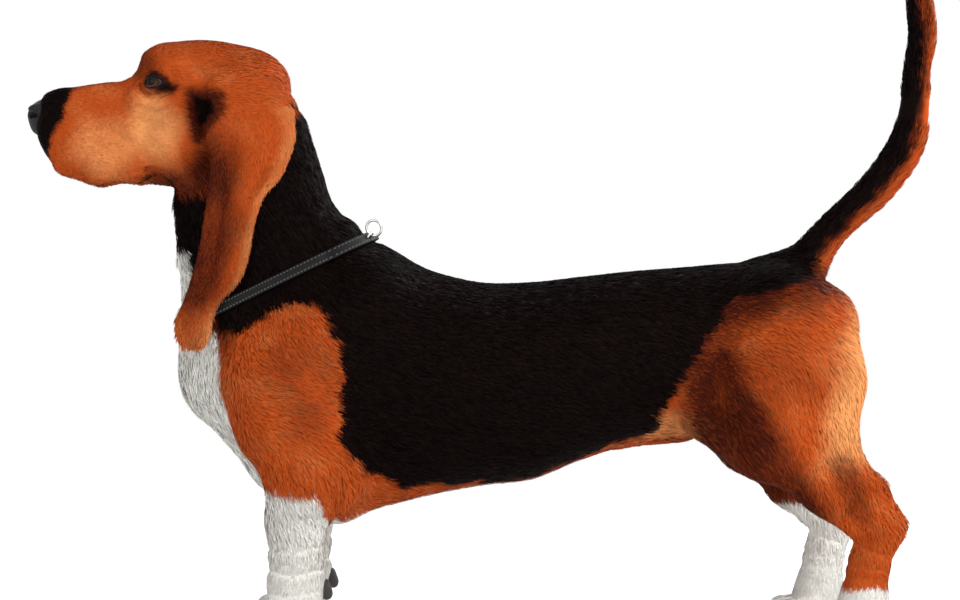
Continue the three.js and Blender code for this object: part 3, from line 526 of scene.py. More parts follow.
def ear_sheet():
    """How far out the middle of the flap lies over each place of the side view."""
    gx, gz = np.meshgrid(
        EAR_LOW[0] + EAR_STEP * np.arange(EAR_GRID[0]),
        EAR_LOW[1] + EAR_STEP * np.arange(EAR_GRID[1]),
        indexing="ij",
    )
    x, z = gx.ravel(), gz.ravel()
    inner = reach(flesh_and_head, np.column_stack([x, 0 * x, z]), np.array([0.0, 1, 0]), 0, 140, 12)
    front, rear, out, bulge, roll = between(EAR, z)
    u = np.clip((x - front) / (rear - front), 0, 1)
    v = np.clip((532 - z) / 252, 0, 1)
    arch = np.sin(np.pi * np.minimum(1, u * 0.9 + 0.1))
    folds = 2.2 * np.sin(u * 11 + v * 3) + 1.0 * np.sin(u * 23 - v * 5)
    y = out + bulge * arch + roll * np.exp(-((u / 0.16) ** 2)) + folds * np.sin(np.pi * v) ** 0.7
    y = np.maximum(y, inner + 4.0 - 9.0 * smooth(z, 452, 512))
    return blur(y.reshape(EAR_GRID), 3)


ear_out = ear_sheet()
ear_slope = np.stack(np.gradient(ear_out, EAR_STEP), axis=-1)


def ear(side):
    """Distance from the flap, for points of one side."""
    out = np.full(len(side), FAR)
    held = within(side, [-288, 20, 264], [-155, 130, 545])
    q = side[held]
    g = np.clip((q[:, [0, 2]] - EAR_LOW) / EAR_STEP, 0, np.array(EAR_GRID) - 1.001)
    i = g.astype(int)
    f = g - i
    fx, fz = f.T
    weights = [(1 - fx) * (1 - fz), fx * (1 - fz), (1 - fx) * fz, fx * fz]
    corners = [(i[:, 0] + a, i[:, 1] + b) for b in (0, 1) for a in (0, 1)]
    middle = sum(w * ear_out[c] for w, c in zip(weights, corners))
    slope = sum(w[:, None] * ear_slope[c] for w, c in zip(weights, corners))
    front, rear = between(EAR, q[:, 2])[:2]
    thick = EAR_THICK / 2 * (0.75 + 0.25 * smooth(q[:, 2], 285, 330))
    off = np.abs(q[:, 1] - middle) / np.sqrt(1 + (slope**2).sum(1))
    ends = [front - q[:, 0], q[:, 0] - rear, 281 - q[:, 2], q[:, 2] - 526]
    edge = np.maximum.reduce(ends) * 0.93 + thick
    edge = edge * 0.6
    out[held] = np.hypot(np.maximum(off, 0), np.maximum(edge, 0)) - thick
    return out


def whole(p):
    """Distance from the whole dog."""
    d = flesh_and_head(p)
    held = (p[:, 0] < -150) & (p[:, 2] > 255)
    side = one_side(p[held])
    width = 1.2 + 14.0 * smooth(p[held, 2], 438, 488)
    d[held] = melt(d[held], ear(side), width)
    return d


# ---- Skin ----
# One hide over the whole body: thin on the face and ears, loose on neck and legs.
# It lies inside the coat by the depth of the hair, and no seam shows but under the collar.
COLLAR_AT = np.array([-200.0, 0.0, 336.0])
COLLAR_TILT = math.radians(26)
STRAP_ACROSS = np.array([-math.sin(COLLAR_TILT), 0, math.cos(COLLAR_TILT)])


def coat_depth(p):
    x, z = p[:, 0], p[:, 2]
    face = smooth(-x, 215, 265) * smooth(z, 405, 430)
    feet = smooth(-z, -75, -45)
    ears = smooth(-ear(one_side(p)), -6, -1)
    return 2.4 - 1.7 * np.maximum.reduce([face, feet, ears])


def above_collar(p):
    body = whole(p) + coat_depth(p)
    hanging = np.where(p[:, 2] < 400, ear(one_side(p)) + 0.7, FAR)
    return np.minimum(np.maximum(body, -(p - COLLAR_AT) @ STRAP_ACROSS - 1.5), hanging)


def below_collar(p):
    body = flesh(p) + coat_depth(p)
    return np.maximum(np.maximum(body, (p - COLLAR_AT) @ STRAP_ACROSS - 1.5), -p[:, 2])


def sculpt(field, low, high, step):
    """Points and four-sided faces on the surface of a field, about one step apart."""
    block = 8
    low = np.array(low, float)
    counts = np.ceil((np.array(high) - low) / (step * block)).astype(int)
    centres = np.stack(np.meshgrid(*[np.arange(n) + 0.5 for n in counts], indexing="ij"), -1)
    coarse = field(low + centres.reshape(-1, 3) * step * block).reshape(counts)
    near = np.abs(coarse) < step * block * 1.7
    values = np.where(coarse < 0, -9.0, 9.0).astype(np.float32)
    for axis in range(3):
        values, near = np.repeat(values, block, axis), np.repeat(near, block, axis)
    at = np.argwhere(near)
    values[near] = field(low + at * step)
    for axis in range(3):
        for end in (0, -1):
            index = [slice(None)] * 3
            index[axis] = end
            values[tuple(index)] = 9.0
    shape = values.shape
    cells, crossings, turned = [], [], []
    for axis in range(3):
        first, second = [slice(None)] * 3, [slice(None)] * 3
        first[axis], second[axis] = slice(None, -1), slice(1, None)
        a, b = values[tuple(first)], values[tuple(second)]
        edges = np.argwhere((a < 0) != (b < 0))
        va, vb = a[tuple(edges.T)], b[tuple(edges.T)]
        crossing = edges.astype(float)
        crossing[:, axis] += va / (va - vb)
        u, v = (axis + 1) % 3, (axis + 2) % 3
        ring = []
        for back_u, back_v in ((1, 1), (0, 1), (0, 0), (1, 0)):
            cell = edges.copy()
            cell[:, u] -= back_u
            cell[:, v] -= back_v
            ring.append(np.ravel_multi_index(cell.T, shape))
        cells.append(np.array(ring))
        crossings.append(np.tile(crossing, (4, 1)))
        turned.append(va < 0)
    all_cells = np.concatenate([c.ravel() for c in cells])
    used, inverse = np.unique(all_cells, return_inverse=True)
    places = np.concatenate(crossings)
    share = np.bincount(inverse)
    points = np.stack([np.bincount(inverse, places[:, k]) / share for k in range(3)], axis=1)
    points = low + points * step
    quads, start = [], 0
    for ring, inward in zip(cells, turned):
        quad = inverse[start : start + ring.size].reshape(4, -1).T
        start += ring.size
        quads.append(np.where(inward[:, None], quad, quad[:, ::-1]))
    quads = np.concatenate(quads)
    a, b = quads.ravel(), np.roll(quads, -1, axis=1).ravel()
    for _ in range(3):
        count = np.bincount(a, minlength=len(points)) + np.bincount(b, minlength=len(points))
        mean = np.stack(
            [
                np.bincount(a, points[b, k], len(points)) + np.bincount(b, points[a, k], len(points))
                for k in range(3)
            ],
            axis=1,
        )
        points = settle(field, (points + mean / count[:, None]) / 2, step)
    return points, quads


def slope_of(field, points, e=0.3):
    here = field(points)
    return here, np.stack([(field(points + e * np.eye(3)[k]) - here) / e for k in range(3)], axis=1)


def settle(field, points, most):
    for _ in range(2):
        d, slope = slope_of(field, points)
        steep = np.maximum((slope**2).sum(1), 0.2)
        points = points - slope * np.clip(d / steep, -most, most)[:, None]
    return points


def make_mesh(name, points, faces, smoothed=True):
    mesh = bpy.data.meshes.new(name)
    mesh.from_pydata((points * MM).tolist(), [], [list(map(int, f)) for f in faces])
    if smoothed:
        mesh.polygons.foreach_set("use_smooth", np.ones(len(mesh.polygons), bool))
    mesh.update()
    made = bpy.data.objects.new(name, mesh)
    bpy.context.scene.collection.objects.link(made)
    return made


FINE = 1.5
COARSE = 2.8
upper = sculpt(above_collar, [-440, -100, 255], [-80, 100, 590], FINE)
lower = sculpt(below_collar, [-305, -125, -12], [445, 125, 690], COARSE)
skin_points = np.vstack([upper[0], lower[0]])
skin_faces = np.vstack([upper[1], lower[1] + len(upper[0])])
skin_points[:, 2] = np.maximum(skin_points[:, 2], 0)
skin = make_mesh("skin", skin_points, skin_faces)
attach(skin, "root")
FLESH_NODES = [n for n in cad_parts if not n.startswith(("eye", "nose", "collar"))]
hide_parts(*FLESH_NODES)

# ---- Markings ----
# Three colours of hair: a black blanket over neck, back and flanks, red-tan head and quarters,
# and white breast, feet and tail end. Each border is an outline in the side view, a little ragged.
# Black, white and bare skin are millimetres inside such a border, pale and deep tan are shares.
# Part of the black and the deep tan is painted shade: in the ear's cup, round the eye, under the brow,
# Part of the pale tan is a painted highlight on the rear edges of the rump and the ear.
# on the ear's front fold and lower half, along the front of the thigh and in the hollow of the hock.
BLANKET = [
    (-140, 530), (-176, 509), (-190, 472), (-224, 446), (-262, 424), (-300, 428), (-300, 386),
    (-282, 368), (-270, 336), (-257, 314), (-226, 291), (-193, 317), (-157, 320), (-140, 303),
    (-133, 277), (-134, 198), (-124, 178), (-101, 162), (-74, 149), (46, 153), (111, 183),
    (157, 201), (171, 231), (203, 277), (217, 305), (232, 322), (262, 332), (285, 336),
    (306, 346), (318, 372), (300, 420), (0, 420),
]
# Painted shadow: the hollow where the ear's front edge leaves the cheek, painted black and deep tan.
CUP_SHADOW = [(-271, 516), (-247, 513), (-246, 499), (-257, 485), (-264, 474), (-268, 494)]
THIGH_SHADE = limb([[206, 0, 262, 24], [224, 0, 214, 26], [252, 0, 178, 22], [300, 0, 126, 13]])
HOCK_SHADE = limb([[330, 0, 176, 7], [350, 0, 132, 7]])
# Round the eye: the dark skin of the lids, and the painted shade that the brow casts over it.
EYE_RIM_AND_SHADE = [(-310, 538), (-303, 538), (-296, 532), (-284, 521), (-287, 517), (-303, 517), (-312, 526)]
BREAST = [
    (-320, 374), (-279, 370), (-270, 336), (-257, 312), (-243, 290), (-241, 240), (-226, 194),
    (-207, 150), (-200, 60), (-340, 60),
]
NOSE_DARK = [
    (-440, 540), (-384, 540), (-388, 516), (-393, 498), (-404, 480), (-408, 462), (-413, 440),
    (-440, 440),
]
STOCKING_TOP = 148
SOCK_TOP = 57


def outline(points, x, z):
    """How far inside a closed outline in the side view a place lies, below 0 outside."""
    best = np.full(len(x), 1e9)
    inside = np.zeros(len(x), bool)
    for (ax, az), (bx, bz) in zip(points, points[1:] + points[:1]):
        ex, ez = bx - ax, bz - az
        t = np.clip(((x - ax) * ex + (z - az) * ez) / (ex * ex + ez * ez), 0, 1)
        best = np.minimum(best, np.hypot(x - ax - t * ex, z - az - t * ez))
        if ez:
            inside ^= ((z >= min(az, bz)) & (z < max(az, bz))) & (x < ax + (z - az) * ex / ez)
    return np.where(inside, best, -best)


def ragged(p, length):
    """An even, unrepeated waver between about -1 and 1."""
    x, y, z = (p / length).T
    return (
        np.sin(x * 1.7 + 2.1 * np.sin(z * 0.9 + 1.3 * y) + 0.4)
        + np.sin(z * 2.3 + 1.7 * np.sin(y * 1.1 + 0.8 * x) + 2.0)
        + np.sin(y * 1.9 + 1.9 * np.sin(x * 1.3 + 0.6 * z) + 4.1)
    ) / 2.2


# Soft spots: how strong, the place of the middle, and the reach each way.
PALE_SPOTS = [
    (0.5, [-350, 36, 466], [52, 30, 44]),
    (0.8, [-304, 44, 486], [44, 30, 48]),
    (0.7, [176, 60, 200], [60, 60, 30]),
]
DEEP_AND_SHADE_SPOTS = [
    (0.35, [-166, 90, 252], [50, 90, 84]),
    (0.34, [262, 90, 262], [70, 90, 80]),
    (0.2, [-250, 30, 560], [80, 70, 40]),
    # Painted shade under the brow and round the eye.
    (0.45, [-316, 30, 543], [26, 34, 22]),
    (0.9, [-246, 50, 436], [50, 44, 52]),
]


def spot(p, strength, centre, radii):
    """Its strength in the middle of a soft spot, falling to 0 at its edge, the same on both sides."""
    r = np.linalg.norm((one_side(p) - centre) / radii, axis=1)
    return strength * (1 - smooth(r, 0.35, 1.0))


def tail_side(p):
    """-1 on the upper side of the tail and 1 on the lower, with how far out the point is."""
    line = TAIL_LINE
    best = np.full(len(p), 1e9)
    across = np.zeros(len(p))
    along = np.zeros((len(p), 3))
    for a, b in zip(line[:-1, :3], line[1:, :3]):
        e = b - a
        t = np.clip((p - a) @ e / (e @ e), 0, 1)
        off = p - a - t[:, None] * e
        d = np.linalg.norm(off, axis=1)
        lower_side = np.array([e[2], 0, -e[0]]) / np.hypot(e[0], e[2])
        closer = d < best
        best = np.where(closer, d, best)
        across = np.where(closer, off @ lower_side, across)
        along[closer] = e / np.linalg.norm(e)
    return across, best, along


def markings(p):
    """Black, white, pale, deep and bare dark skin on the hide, with painted shade and highlight among them.
    """
    x, s, z = p[:, 0], np.abs(p[:, 1]), p[:, 2]
    q = one_side(p)
    flat = p * [1, 0, 1]
    face = smooth(-x, 255, 275) * smooth(z, 445, 460)
    wavy = (3.0 * ragged(p, 14) + 1.6 * ragged(p + 77, 5)) * (1 - 0.6 * face)
    on_ear = (ear(q) < 3.0) & (z < 505)
    front, rear = between(EAR, z)[:2]
    u = (x - front) / np.maximum(rear - front, 1)
    above_belly = z - between(TRUNK, x)[1]
    across, near_tail, _ = tail_side(p)
    on_tail = smooth(-near_tail, -34, -25) * smooth(x, 296, 312) * smooth(z, 350, 362)

    black = np.minimum(outline(BLANKET, x, z), s - 32 + 1.2 * above_belly)
    body_black = black
    tail_black = np.where(z > 612, -20, 3.0 - across - 0.012 * (z - 400))
    black = black * (1 - on_tail) + tail_black * on_tail
    black = np.where(on_ear, -20, black)
    black = np.maximum(black, np.where(x < -330, outline(NOSE_DARK, x, z), -40))
    # Painted shadow in the ear's cup, in black.
    black = np.maximum(black, np.where((s > 40) & (u < 0.25), outline(CUP_SHADOW, x, z) - 3.0, -40))
    # Dark lid skin round the eye, with the painted shade of the brow, in black.
    eye_rim_and_shade = np.where((s > 18) & (x < -275), outline(EYE_RIM_AND_SHADE, x, z), -40)
    black = np.maximum(black, eye_rim_and_shade - 2.0)

    white = outline(BREAST, x, z)
    white = np.maximum(white, np.minimum.reduce([46 - s, -140 - x, 300 - z]))
    stocking = np.minimum(STOCKING_TOP - 3 + 0.009 * np.clip(x + 172, -45, 45) ** 2 - z, -0.5 * z - 78 - x)
    white = np.maximum(white, np.where(x < -90, stocking, -40))
    inner = np.where(p[:, 1] > 0, smooth(-s, -97, -85), smooth(-s, -77, -66))
    sock = SOCK_TOP + 74 * inner - z
    white = np.maximum(white, np.where(x > 200, sock, -40))
    white = np.maximum(white, (z - 612) * on_tail - 40 * (1 - on_tail))
    white = np.maximum(white, np.minimum.reduce([21 - s, 16 - above_belly, 90 - x]))
    white = np.where(on_ear, -20, white)

    pale = np.maximum.reduce([spot(p, *row) for row in PALE_SPOTS])
    # Painted highlight: the rear edge of the rump paler, where the light from behind falls on it.
    rump_highlight = smooth(x - 0.25 * (z - 200), 294, 332) * smooth(z, 150, 210) * (1 - smooth(z, 352, 370))
    pale = np.maximum(pale, rump_highlight)
    # On the ear: a painted highlight along its rear edge, and paler hair near its end.
    pale = np.where(on_ear, 0.45 * smooth(u, 0.72, 0.98) + 0.2 * smooth(-z, -330, -300), pale)

    bleeding = smooth(body_black, -46, -2)
    deep = 0.95 * bleeding * smooth(x, 150, 210) * (1 - on_tail)
    deep = np.maximum(deep, 0.9 * smooth(-THIGH_SHADE(flat), -26, 8))
    deep = np.maximum(deep, 0.6 * smooth(-HOCK_SHADE(flat), -14, 3))
    deep = np.maximum.reduce([deep] + [spot(p, *row) for row in DEEP_AND_SHADE_SPOTS])
    throat = smooth(outline(BLANKET, x, z), -30, 0) * smooth(-x, 215, 245)
    deep = np.maximum(deep, 0.95 * throat)
    # Dark lid skin and painted brow shade round the eye, in deep tan.
    deep = np.maximum(deep, smooth(eye_rim_and_shade, -6, 3))
    deep = np.maximum(deep, 0.5 * (1 - smooth(s, 5, 17)) * smooth(-x, 318, 345) * smooth(z, 505, 520))
    shaded = 0.5 + 0.4 * (1 - smooth(z, 392, 452))
    ear_shade = 0.92 * (1 - smooth(u, shaded - 0.45, shaded + 0.1)) * (1 - smooth(z, 450, 504))
    ear_shade = np.maximum(ear_shade, 0.5 * (1 - smooth(z, 330, 430))) * (0.25 + 0.75 * smooth(z, 300, 330))
    deep = np.where(on_ear, ear_shade, deep)
    # Painted shadow round the ear's cup, in deep tan, softening its edge.
    deep = np.maximum(deep, np.where(u < 0.25, smooth(outline(CUP_SHADOW, x, z), -13, 0), 0))
    deep = np.maximum(deep, 0.9 * on_tail * (1 - smooth(across, 4, 12)) * (z < 612))
    deep = np.clip(deep + 0.14 * ragged(p + 31, 22), 0, 1)

    bare = np.where((z < 452) & (x < -300) & (x > -400), 0.5 - (z - 431), -9.0)
    corner = np.linalg.norm((q - [-303, 36, 436]) / [13, 14, 6], axis=1)
    bare = np.maximum(bare, (1 - corner) * 6)
    off = q - EYE
    lid = np.hypot(off @ EYE_LEVEL / 12.0, off @ EYE_UP / 8.0)
    near_eye = np.linalg.norm(off, axis=1) < 22
    bare = np.maximum(bare, np.where(near_eye, (1 - lid) * 10, -9))
    return {
        "black": black + wavy,
        "white": white + wavy * 0.5,
        "pale": np.clip(pale + 0.12 * ragged(p + 13, 18), 0, 1),
        "deep": deep,
        "bare": bare + 0.5 * wavy,
    }


def put_values(mesh, values, domain="POINT"):
    for name, numbers in values.items():
        layer = mesh.attributes.new(name, "FLOAT", domain)
        layer.data.foreach_set("value", np.asarray(numbers, np.float32))


put_values(skin.data, markings(skin_points))

# ---- Coat material ----
# Short, smooth, dense hair. The same mix of colours is used for the hide under it and for the
# tufts over it. Its gloss is soft, and fine streaks along the hair break up the light.
# Its black, pale and deep shares also carry the painted shade and highlight of the markings.
BLACK_HAIR = (0.0022, 0.0010, 0.0009)
BLACK_SHEEN = (0.0075, 0.0035, 0.003)
RED_TAN = (0.40, 0.058, 0.008)
# Pale tan also serves as painted highlight, and deep tan as painted shade.
PALE_TAN_AND_HIGHLIGHT = (0.74, 0.30, 0.10)
DEEP_TAN_AND_SHADE = (0.05, 0.008, 0.0035)
WHITE_HAIR = (0.72, 0.71, 0.67)
WHITE_SHADE = (0.50, 0.48, 0.43)
BARE_SKIN = (0.012, 0.008, 0.009)


class Wire:
    """A value socket in a material, used with plain arithmetic."""

    def __init__(self, paint, socket):
        self.paint, self.socket = paint, socket

    def math(self, operation, *others, clamp=False):
        return self.paint.add("ShaderNodeMath", {"operation": operation, "use_clamp": clamp}, self, *others)

    def __add__(self, other):
        return self.math("ADD", other)

    def __sub__(self, other):
        return self.math("SUBTRACT", other)

    def __mul__(self, other):
        return self.math("MULTIPLY", other)

    def __truediv__(self, other):
        return self.math("DIVIDE", other)

    def __rsub__(self, other):
        return self.paint.add("ShaderNodeMath", {"operation": "SUBTRACT"}, other, self)

    def __rtruediv__(self, other):
        return self.paint.add("ShaderNodeMath", {"operation": "DIVIDE"}, other, self)

    __radd__, __rmul__ = __add__, __mul__

    def clamped(self):
        return (self * 1.0).math("ADD", 0.0, clamp=True)


class Paint:
    """A material whose nodes are added one by one."""

    def __init__(self, name):
        self.material = bpy.data.materials.new(name)
        self.material.use_nodes = True
        self.tree = self.material.node_tree
        self.tree.nodes.clear()
        self.output = self.tree.nodes.new("ShaderNodeOutputMaterial")

    def add(self, kind, settings=None, *values, out=0, **named):
        """Adds a node: its settings first, then the values or links of its sockets."""
        node = self.tree.nodes.new(kind)
        for key, value in (settings or {}).items():
            if key == "stops":
                ramp = node.color_ramp
                while len(ramp.elements) < len(value):
                    ramp.elements.new(0.5)
                for element, (place, colour) in zip(ramp.elements, value):
                    element.position, element.color = place, (*colour, 1)
            else:
                setattr(node, key, value)
        sockets = [s for s in node.inputs if s.enabled]
        pairs = list(zip(sockets, values))
        for key, value in named.items():
            pairs.append((next(s for s in sockets if s.name == key.replace("_", " ")), value))
        for socket, value in pairs:
            if isinstance(value, Wire):
                self.tree.links.new(value.socket, socket)
            elif isinstance(value, tuple) and len(value) == 3 and socket.type == "RGBA":
                socket.default_value = (*value, 1)
            else:
                socket.default_value = value
        shown = [s for s in node.outputs if s.enabled]
        return Wire(self, shown[out] if isinstance(out, int) else node.outputs[out])

    def value(self, name):
        return self.add("ShaderNodeAttribute", {"attribute_name": name}, out="Fac")

    def place(self):
        return self.add("ShaderNodeTexCoord", out="Object")

    def noise(self, scale, detail=3.0, where=None, roughness=0.55):
        where = where or self.place()
        numbers = {"Scale": scale, "Detail": detail, "Roughness": roughness}
        return self.add("ShaderNodeTexNoise", {"noise_dimensions": "3D"}, Vector=where, **numbers)

    def mix(self, factor, first, second):
        return self.add("ShaderNodeMix", {"data_type": "RGBA"}, factor, first, second)

    def stretched(self, x, y, z):
        return self.add("ShaderNodeMapping", None, Vector=self.place(), Scale=(x, y, z))

    def bumps(self, height, strength, distance):
        return self.add("ShaderNodeBump", None, Strength=strength, Distance=distance, Height=height)

    def finish(self, shader):
        self.tree.links.new(shader.socket, self.output.inputs["Surface"])
        return self.material

    def surface(self, **sockets):
        """The finished material, with one shader for its whole surface."""
        return self.finish(self.add("ShaderNodeBsdfPrincipled", None, **sockets))


def coat_paint(name, tufts):
    paint = Paint(name)
    fine = paint.noise(900, 2.0)
    soft = paint.noise(45, 3.0)

    def inside(value, width):
        edge = paint.value(value) + (fine - 0.5) * 2.5
        return (edge * (1.0 / width) + 0.5).clamped()

    lively = (soft - 0.5) * 0.5 + (fine - 0.5) * 0.35
    if tufts:
        lively = lively + (paint.value("shade") - 0.5) * 0.9
    # The pale and deep shares lay painted highlight and painted shade on the tan, and the black share lays
    # painted shadow.
    tan = paint.mix((paint.value("pale") + lively * 0.35).clamped(), RED_TAN, PALE_TAN_AND_HIGHLIGHT)
    tan = paint.mix((paint.value("deep") + lively * 0.4).clamped(), tan, DEEP_TAN_AND_SHADE)
    light = paint.mix((0.35 + lively * 0.9).clamped(), WHITE_HAIR, WHITE_SHADE)
    dark = paint.mix((0.35 + lively).clamped(), BLACK_HAIR, BLACK_SHEEN)
    colour = paint.mix(inside("black", 5.0), tan, dark)
    colour = paint.mix(inside("white", 4.0), colour, light)
    colour = paint.mix(inside("bare", 5.0), colour, BARE_SKIN)
    strands = paint.noise(420, 4.0, paint.stretched(0.35, 1.0, 1.0))
    height = strands * 0.7 + fine * 0.3
    normal = paint.bumps(height, 0.35 if tufts else 0.6, 0.0008)
    rough = (0.58 + (strands - 0.5) * 0.3 + paint.value("white").clamped() * 0.12).clamped()
    return paint.surface(
        Base_Color=colour,
        Roughness=rough,
        Normal=normal,
        Specular_IOR_Level=0.02,
    )


skin.data.materials.append(coat_paint("short_coat_hide", False))

# ---- Nose ----
# The bare, damp leather of the nose, black and pebbled, at the very front of the muzzle.
# Two nostrils open forwards and curl back at the sides, with a groove between them.
nose_block = ball([-410, 0, 500], [20, 18.5, 15], 12)
nose_foot = ball([-414, 0, 487], [12, 10, 9])
nostril_hole = limb([[-431, 8.5, 500, 3.0], [-423, 9.5, 499, 3.2], [-414, 8, 499, 3]], 1, 2)
nostril_curl = limb([[-425, 11, 499, 2.0], [-417, 17, 497, 1.3], [-410, 19, 498, 0.8]], 1, 2)
nostril_wing = ball([-421, 11.5, 504.5], [7, 6, 4.2], 10)
nose_groove = limb([[-432, 0, 494, 0.9], [-427, 0, 484, 1.0], [-421, 0, 477, 1.2]], 1, 2)


def nose_field(p):
    side = np.column_stack([p[:, 0], np.abs(p[:, 1]), p[:, 2]])
    d = melt(nose_block(side), nose_foot(side), 8)
    d = melt(d, nostril_wing(side), 3)
    d = carve(d, nostril_hole(side), 2)
    d = carve(d, nostril_curl(side), 1.6)
    return carve(d, nose_groove(side), 1.6) + 0.2


def nose_paint():
    paint = Paint("damp_nose_leather")
    where = paint.place()
    cells = {"Vector": where, "Scale": 900.0, "Smoothness": 0.6}
    pebbles = paint.add("ShaderNodeTexVoronoi", {"feature": "SMOOTH_F1"}, **cells)
    grain = paint.noise(1600, 3.0)
    colour = paint.mix(paint.noise(160, 3.0), (0.0015, 0.0013, 0.0015), (0.006, 0.005, 0.0056))
    height = (1 - pebbles) * 0.8 + grain * 0.2
    normal = paint.bumps(height, 0.9, 0.0008)
    rough = (0.36 + grain * 0.2).clamped()
    return paint.surface(
        Base_Color=colour,
        Roughness=rough,
        Normal=normal,
        Specular_IOR_Level=0.2,
        Coat_Weight=0.06,
        Coat_Roughness=0.2,
    )


nose = make_mesh("nose_leather", *sculpt(nose_field, [-440, -26, 470], [-384, 26, 524], 0.9))
nose.data.materials.append(nose_paint())
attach(nose, "root")
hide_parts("nose")

# ---- Eyes ----
# Dark brown, moist eyes that sit deep under the brow. The ball is reddish at its rim, with a round
# iris and pupil, and bulges a little at the front. It is held in its hollow by the lids.
IRIS_ANGLE = 50.0
PUPIL_ANGLE = 20.0


def tube_faces(rings, spokes, base=0, turned=False, closed=False):
    """Four-sided faces between rings of points that follow one another."""
    faces = []
    for ring in range(rings if closed else rings - 1):
        here, there = base + ring * spokes, base + (ring + 1) % rings * spokes
        for spoke in range(spokes):
            after = (spoke + 1) % spokes
            face = [here + spoke, here + after, there + after, there + spoke]
            faces.append(face[::-1] if turned else face)
    return faces


def eye_ball(name, side):
    rings, spokes = 40, 48
    points, angles = [], []
    for ring in range(rings + 1):
        angle = math.pi * ring / rings
        bulge = 0.9 * math.exp(-((math.degrees(angle) / 34) ** 4))
        radius = EYE_RADIUS + bulge
        for spoke in range(spokes):
            turn = 2 * math.pi * spoke / spokes
            around = EYE_LEVEL * math.cos(turn) + EYE_UP * math.sin(turn)
            p = EYE + radius * (EYE_WAY * math.cos(angle) + around * math.sin(angle))
            points.append(p * [1, side, 1])
            angles.append(math.degrees(angle))
    made = make_mesh(name, np.array(points), tube_faces(rings + 1, spokes, turned=side > 0))
    put_values(made.data, {"angle": angles})
    return made


def eye_paint():
    paint = Paint("wet_brown_eye")
    angle = paint.value("angle")
    streaks = paint.noise(900, 4.0)
    spread = (angle / 90.0 + (streaks - 0.5) * 0.03).clamped()
    stops = [
        (0.0, (0.003, 0.002, 0.002)),
        (PUPIL_ANGLE / 90 - 0.01, (0.003, 0.002, 0.002)),
        (PUPIL_ANGLE / 90 + 0.02, (0.045, 0.014, 0.003)),
        (IRIS_ANGLE / 90 - 0.06, (0.10, 0.034, 0.008)),
        (IRIS_ANGLE / 90, (0.008, 0.004, 0.003)),
        (IRIS_ANGLE / 90 + 0.05, (0.10, 0.055, 0.045)),
        (1.0, (0.22, 0.10, 0.08)),
    ]
    colour = paint.add("ShaderNodeValToRGB", {"stops": stops}, spread)
    rough = (0.05 + streaks * 0.05).clamped()
    return paint.surface(
        Base_Color=colour,
        Roughness=rough,
        Specular_IOR_Level=0.05,
        Coat_Weight=0.16,
        Coat_Roughness=0.02,
    )


eye_finish = eye_paint()
for side, name in ((-1, "left"), (1, "right")):
    eye = eye_ball("eye_ball_" + name, side)
    eye.data.materials.append(eye_finish)
    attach(eye, "root")
    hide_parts("eye_" + name)

# ---- Rims of the lids ----
# The hairless, dark and moist edges of the lids, and the red inner skin that the drooping lower
# lid lets show. Each is a thin roll of skin that lies on the eyeball.
RIM_FROM_CENTRE = 12.2
HAW_FROM_CENTRE = 11.2


def lid_place(turn, from_centre, inset):
    level = (LID_HALF - inset) * math.cos(turn)
    height = UPPER_LID if math.sin(turn) > 0 else LOWER_LID
    up = (height - inset) * math.sin(turn) - 0.8 * (math.cos(turn) > 0) * math.cos(turn) ** 2
    out = math.sqrt(from_centre**2 - level**2 - up**2)
    return EYE + level * EYE_LEVEL + up * EYE_UP + out * EYE_WAY


def roll_of_skin(name, turns, from_centre, inset, thick, side, closed):
    points, spokes = [], 8
    line = [lid_place(t, from_centre, inset) for t in turns]
    for n, place in enumerate(line):
        after = line[(n + 1) % len(line)] if closed or n + 1 < len(line) else 2 * place - line[n - 1]
        along = (after - place) / np.linalg.norm(after - place)
        outward = (place - EYE) / np.linalg.norm(place - EYE)
        across = np.cross(along, outward)
        radius = thick if closed else thick * math.sin(math.pi * (n + 0.5) / len(line)) ** 0.5
        for k in range(spokes):
            a = 2 * math.pi * k / spokes
            points.append((place + radius * (math.cos(a) * outward + math.sin(a) * across)) * [1, side, 1])
    faces = tube_faces(len(line), spokes, turned=side < 0, closed=closed)
    if not closed:
        first, last = list(range(spokes)), list(range(len(points) - spokes, len(points)))
        faces += [first[::-1], last] if side > 0 else [first, last[::-1]]
    return make_mesh(name, np.array(points), faces)


def moist_skin(name, dark, light):
    paint = Paint(name)
    grain = paint.noise(1200, 3.0)
    normal = paint.bumps(grain, 0.4, 0.0003)
    return paint.surface(
        Base_Color=paint.mix(grain, dark, light),
        Roughness=(0.42 + grain * 0.2).clamped(),
        Normal=normal,
        Specular_IOR_Level=0.25,
    )


rim_finish = moist_skin("dark_lid_edge", (0.003, 0.002, 0.002), (0.01, 0.006, 0.0055))
haw_finish = moist_skin("red_inner_lid", (0.12, 0.018, 0.014), (0.24, 0.05, 0.04))
all_round = np.linspace(0, 2 * math.pi, 48, endpoint=False)
lower_half = np.linspace(math.pi * 1.06, math.pi * 1.94, 24)
for side, name in ((-1, "left"), (1, "right")):
    rim = roll_of_skin("lid_rim_" + name, all_round, RIM_FROM_CENTRE, 0.2, 0.65, side, True)
    haw = roll_of_skin("lower_haw_" + name, lower_half, HAW_FROM_CENTRE, 0.9, 0.75, side, False)
    rim.data.materials.append(rim_finish)
    haw.data.materials.append(haw_finish)
    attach(rim, "root")
    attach(haw, "root")

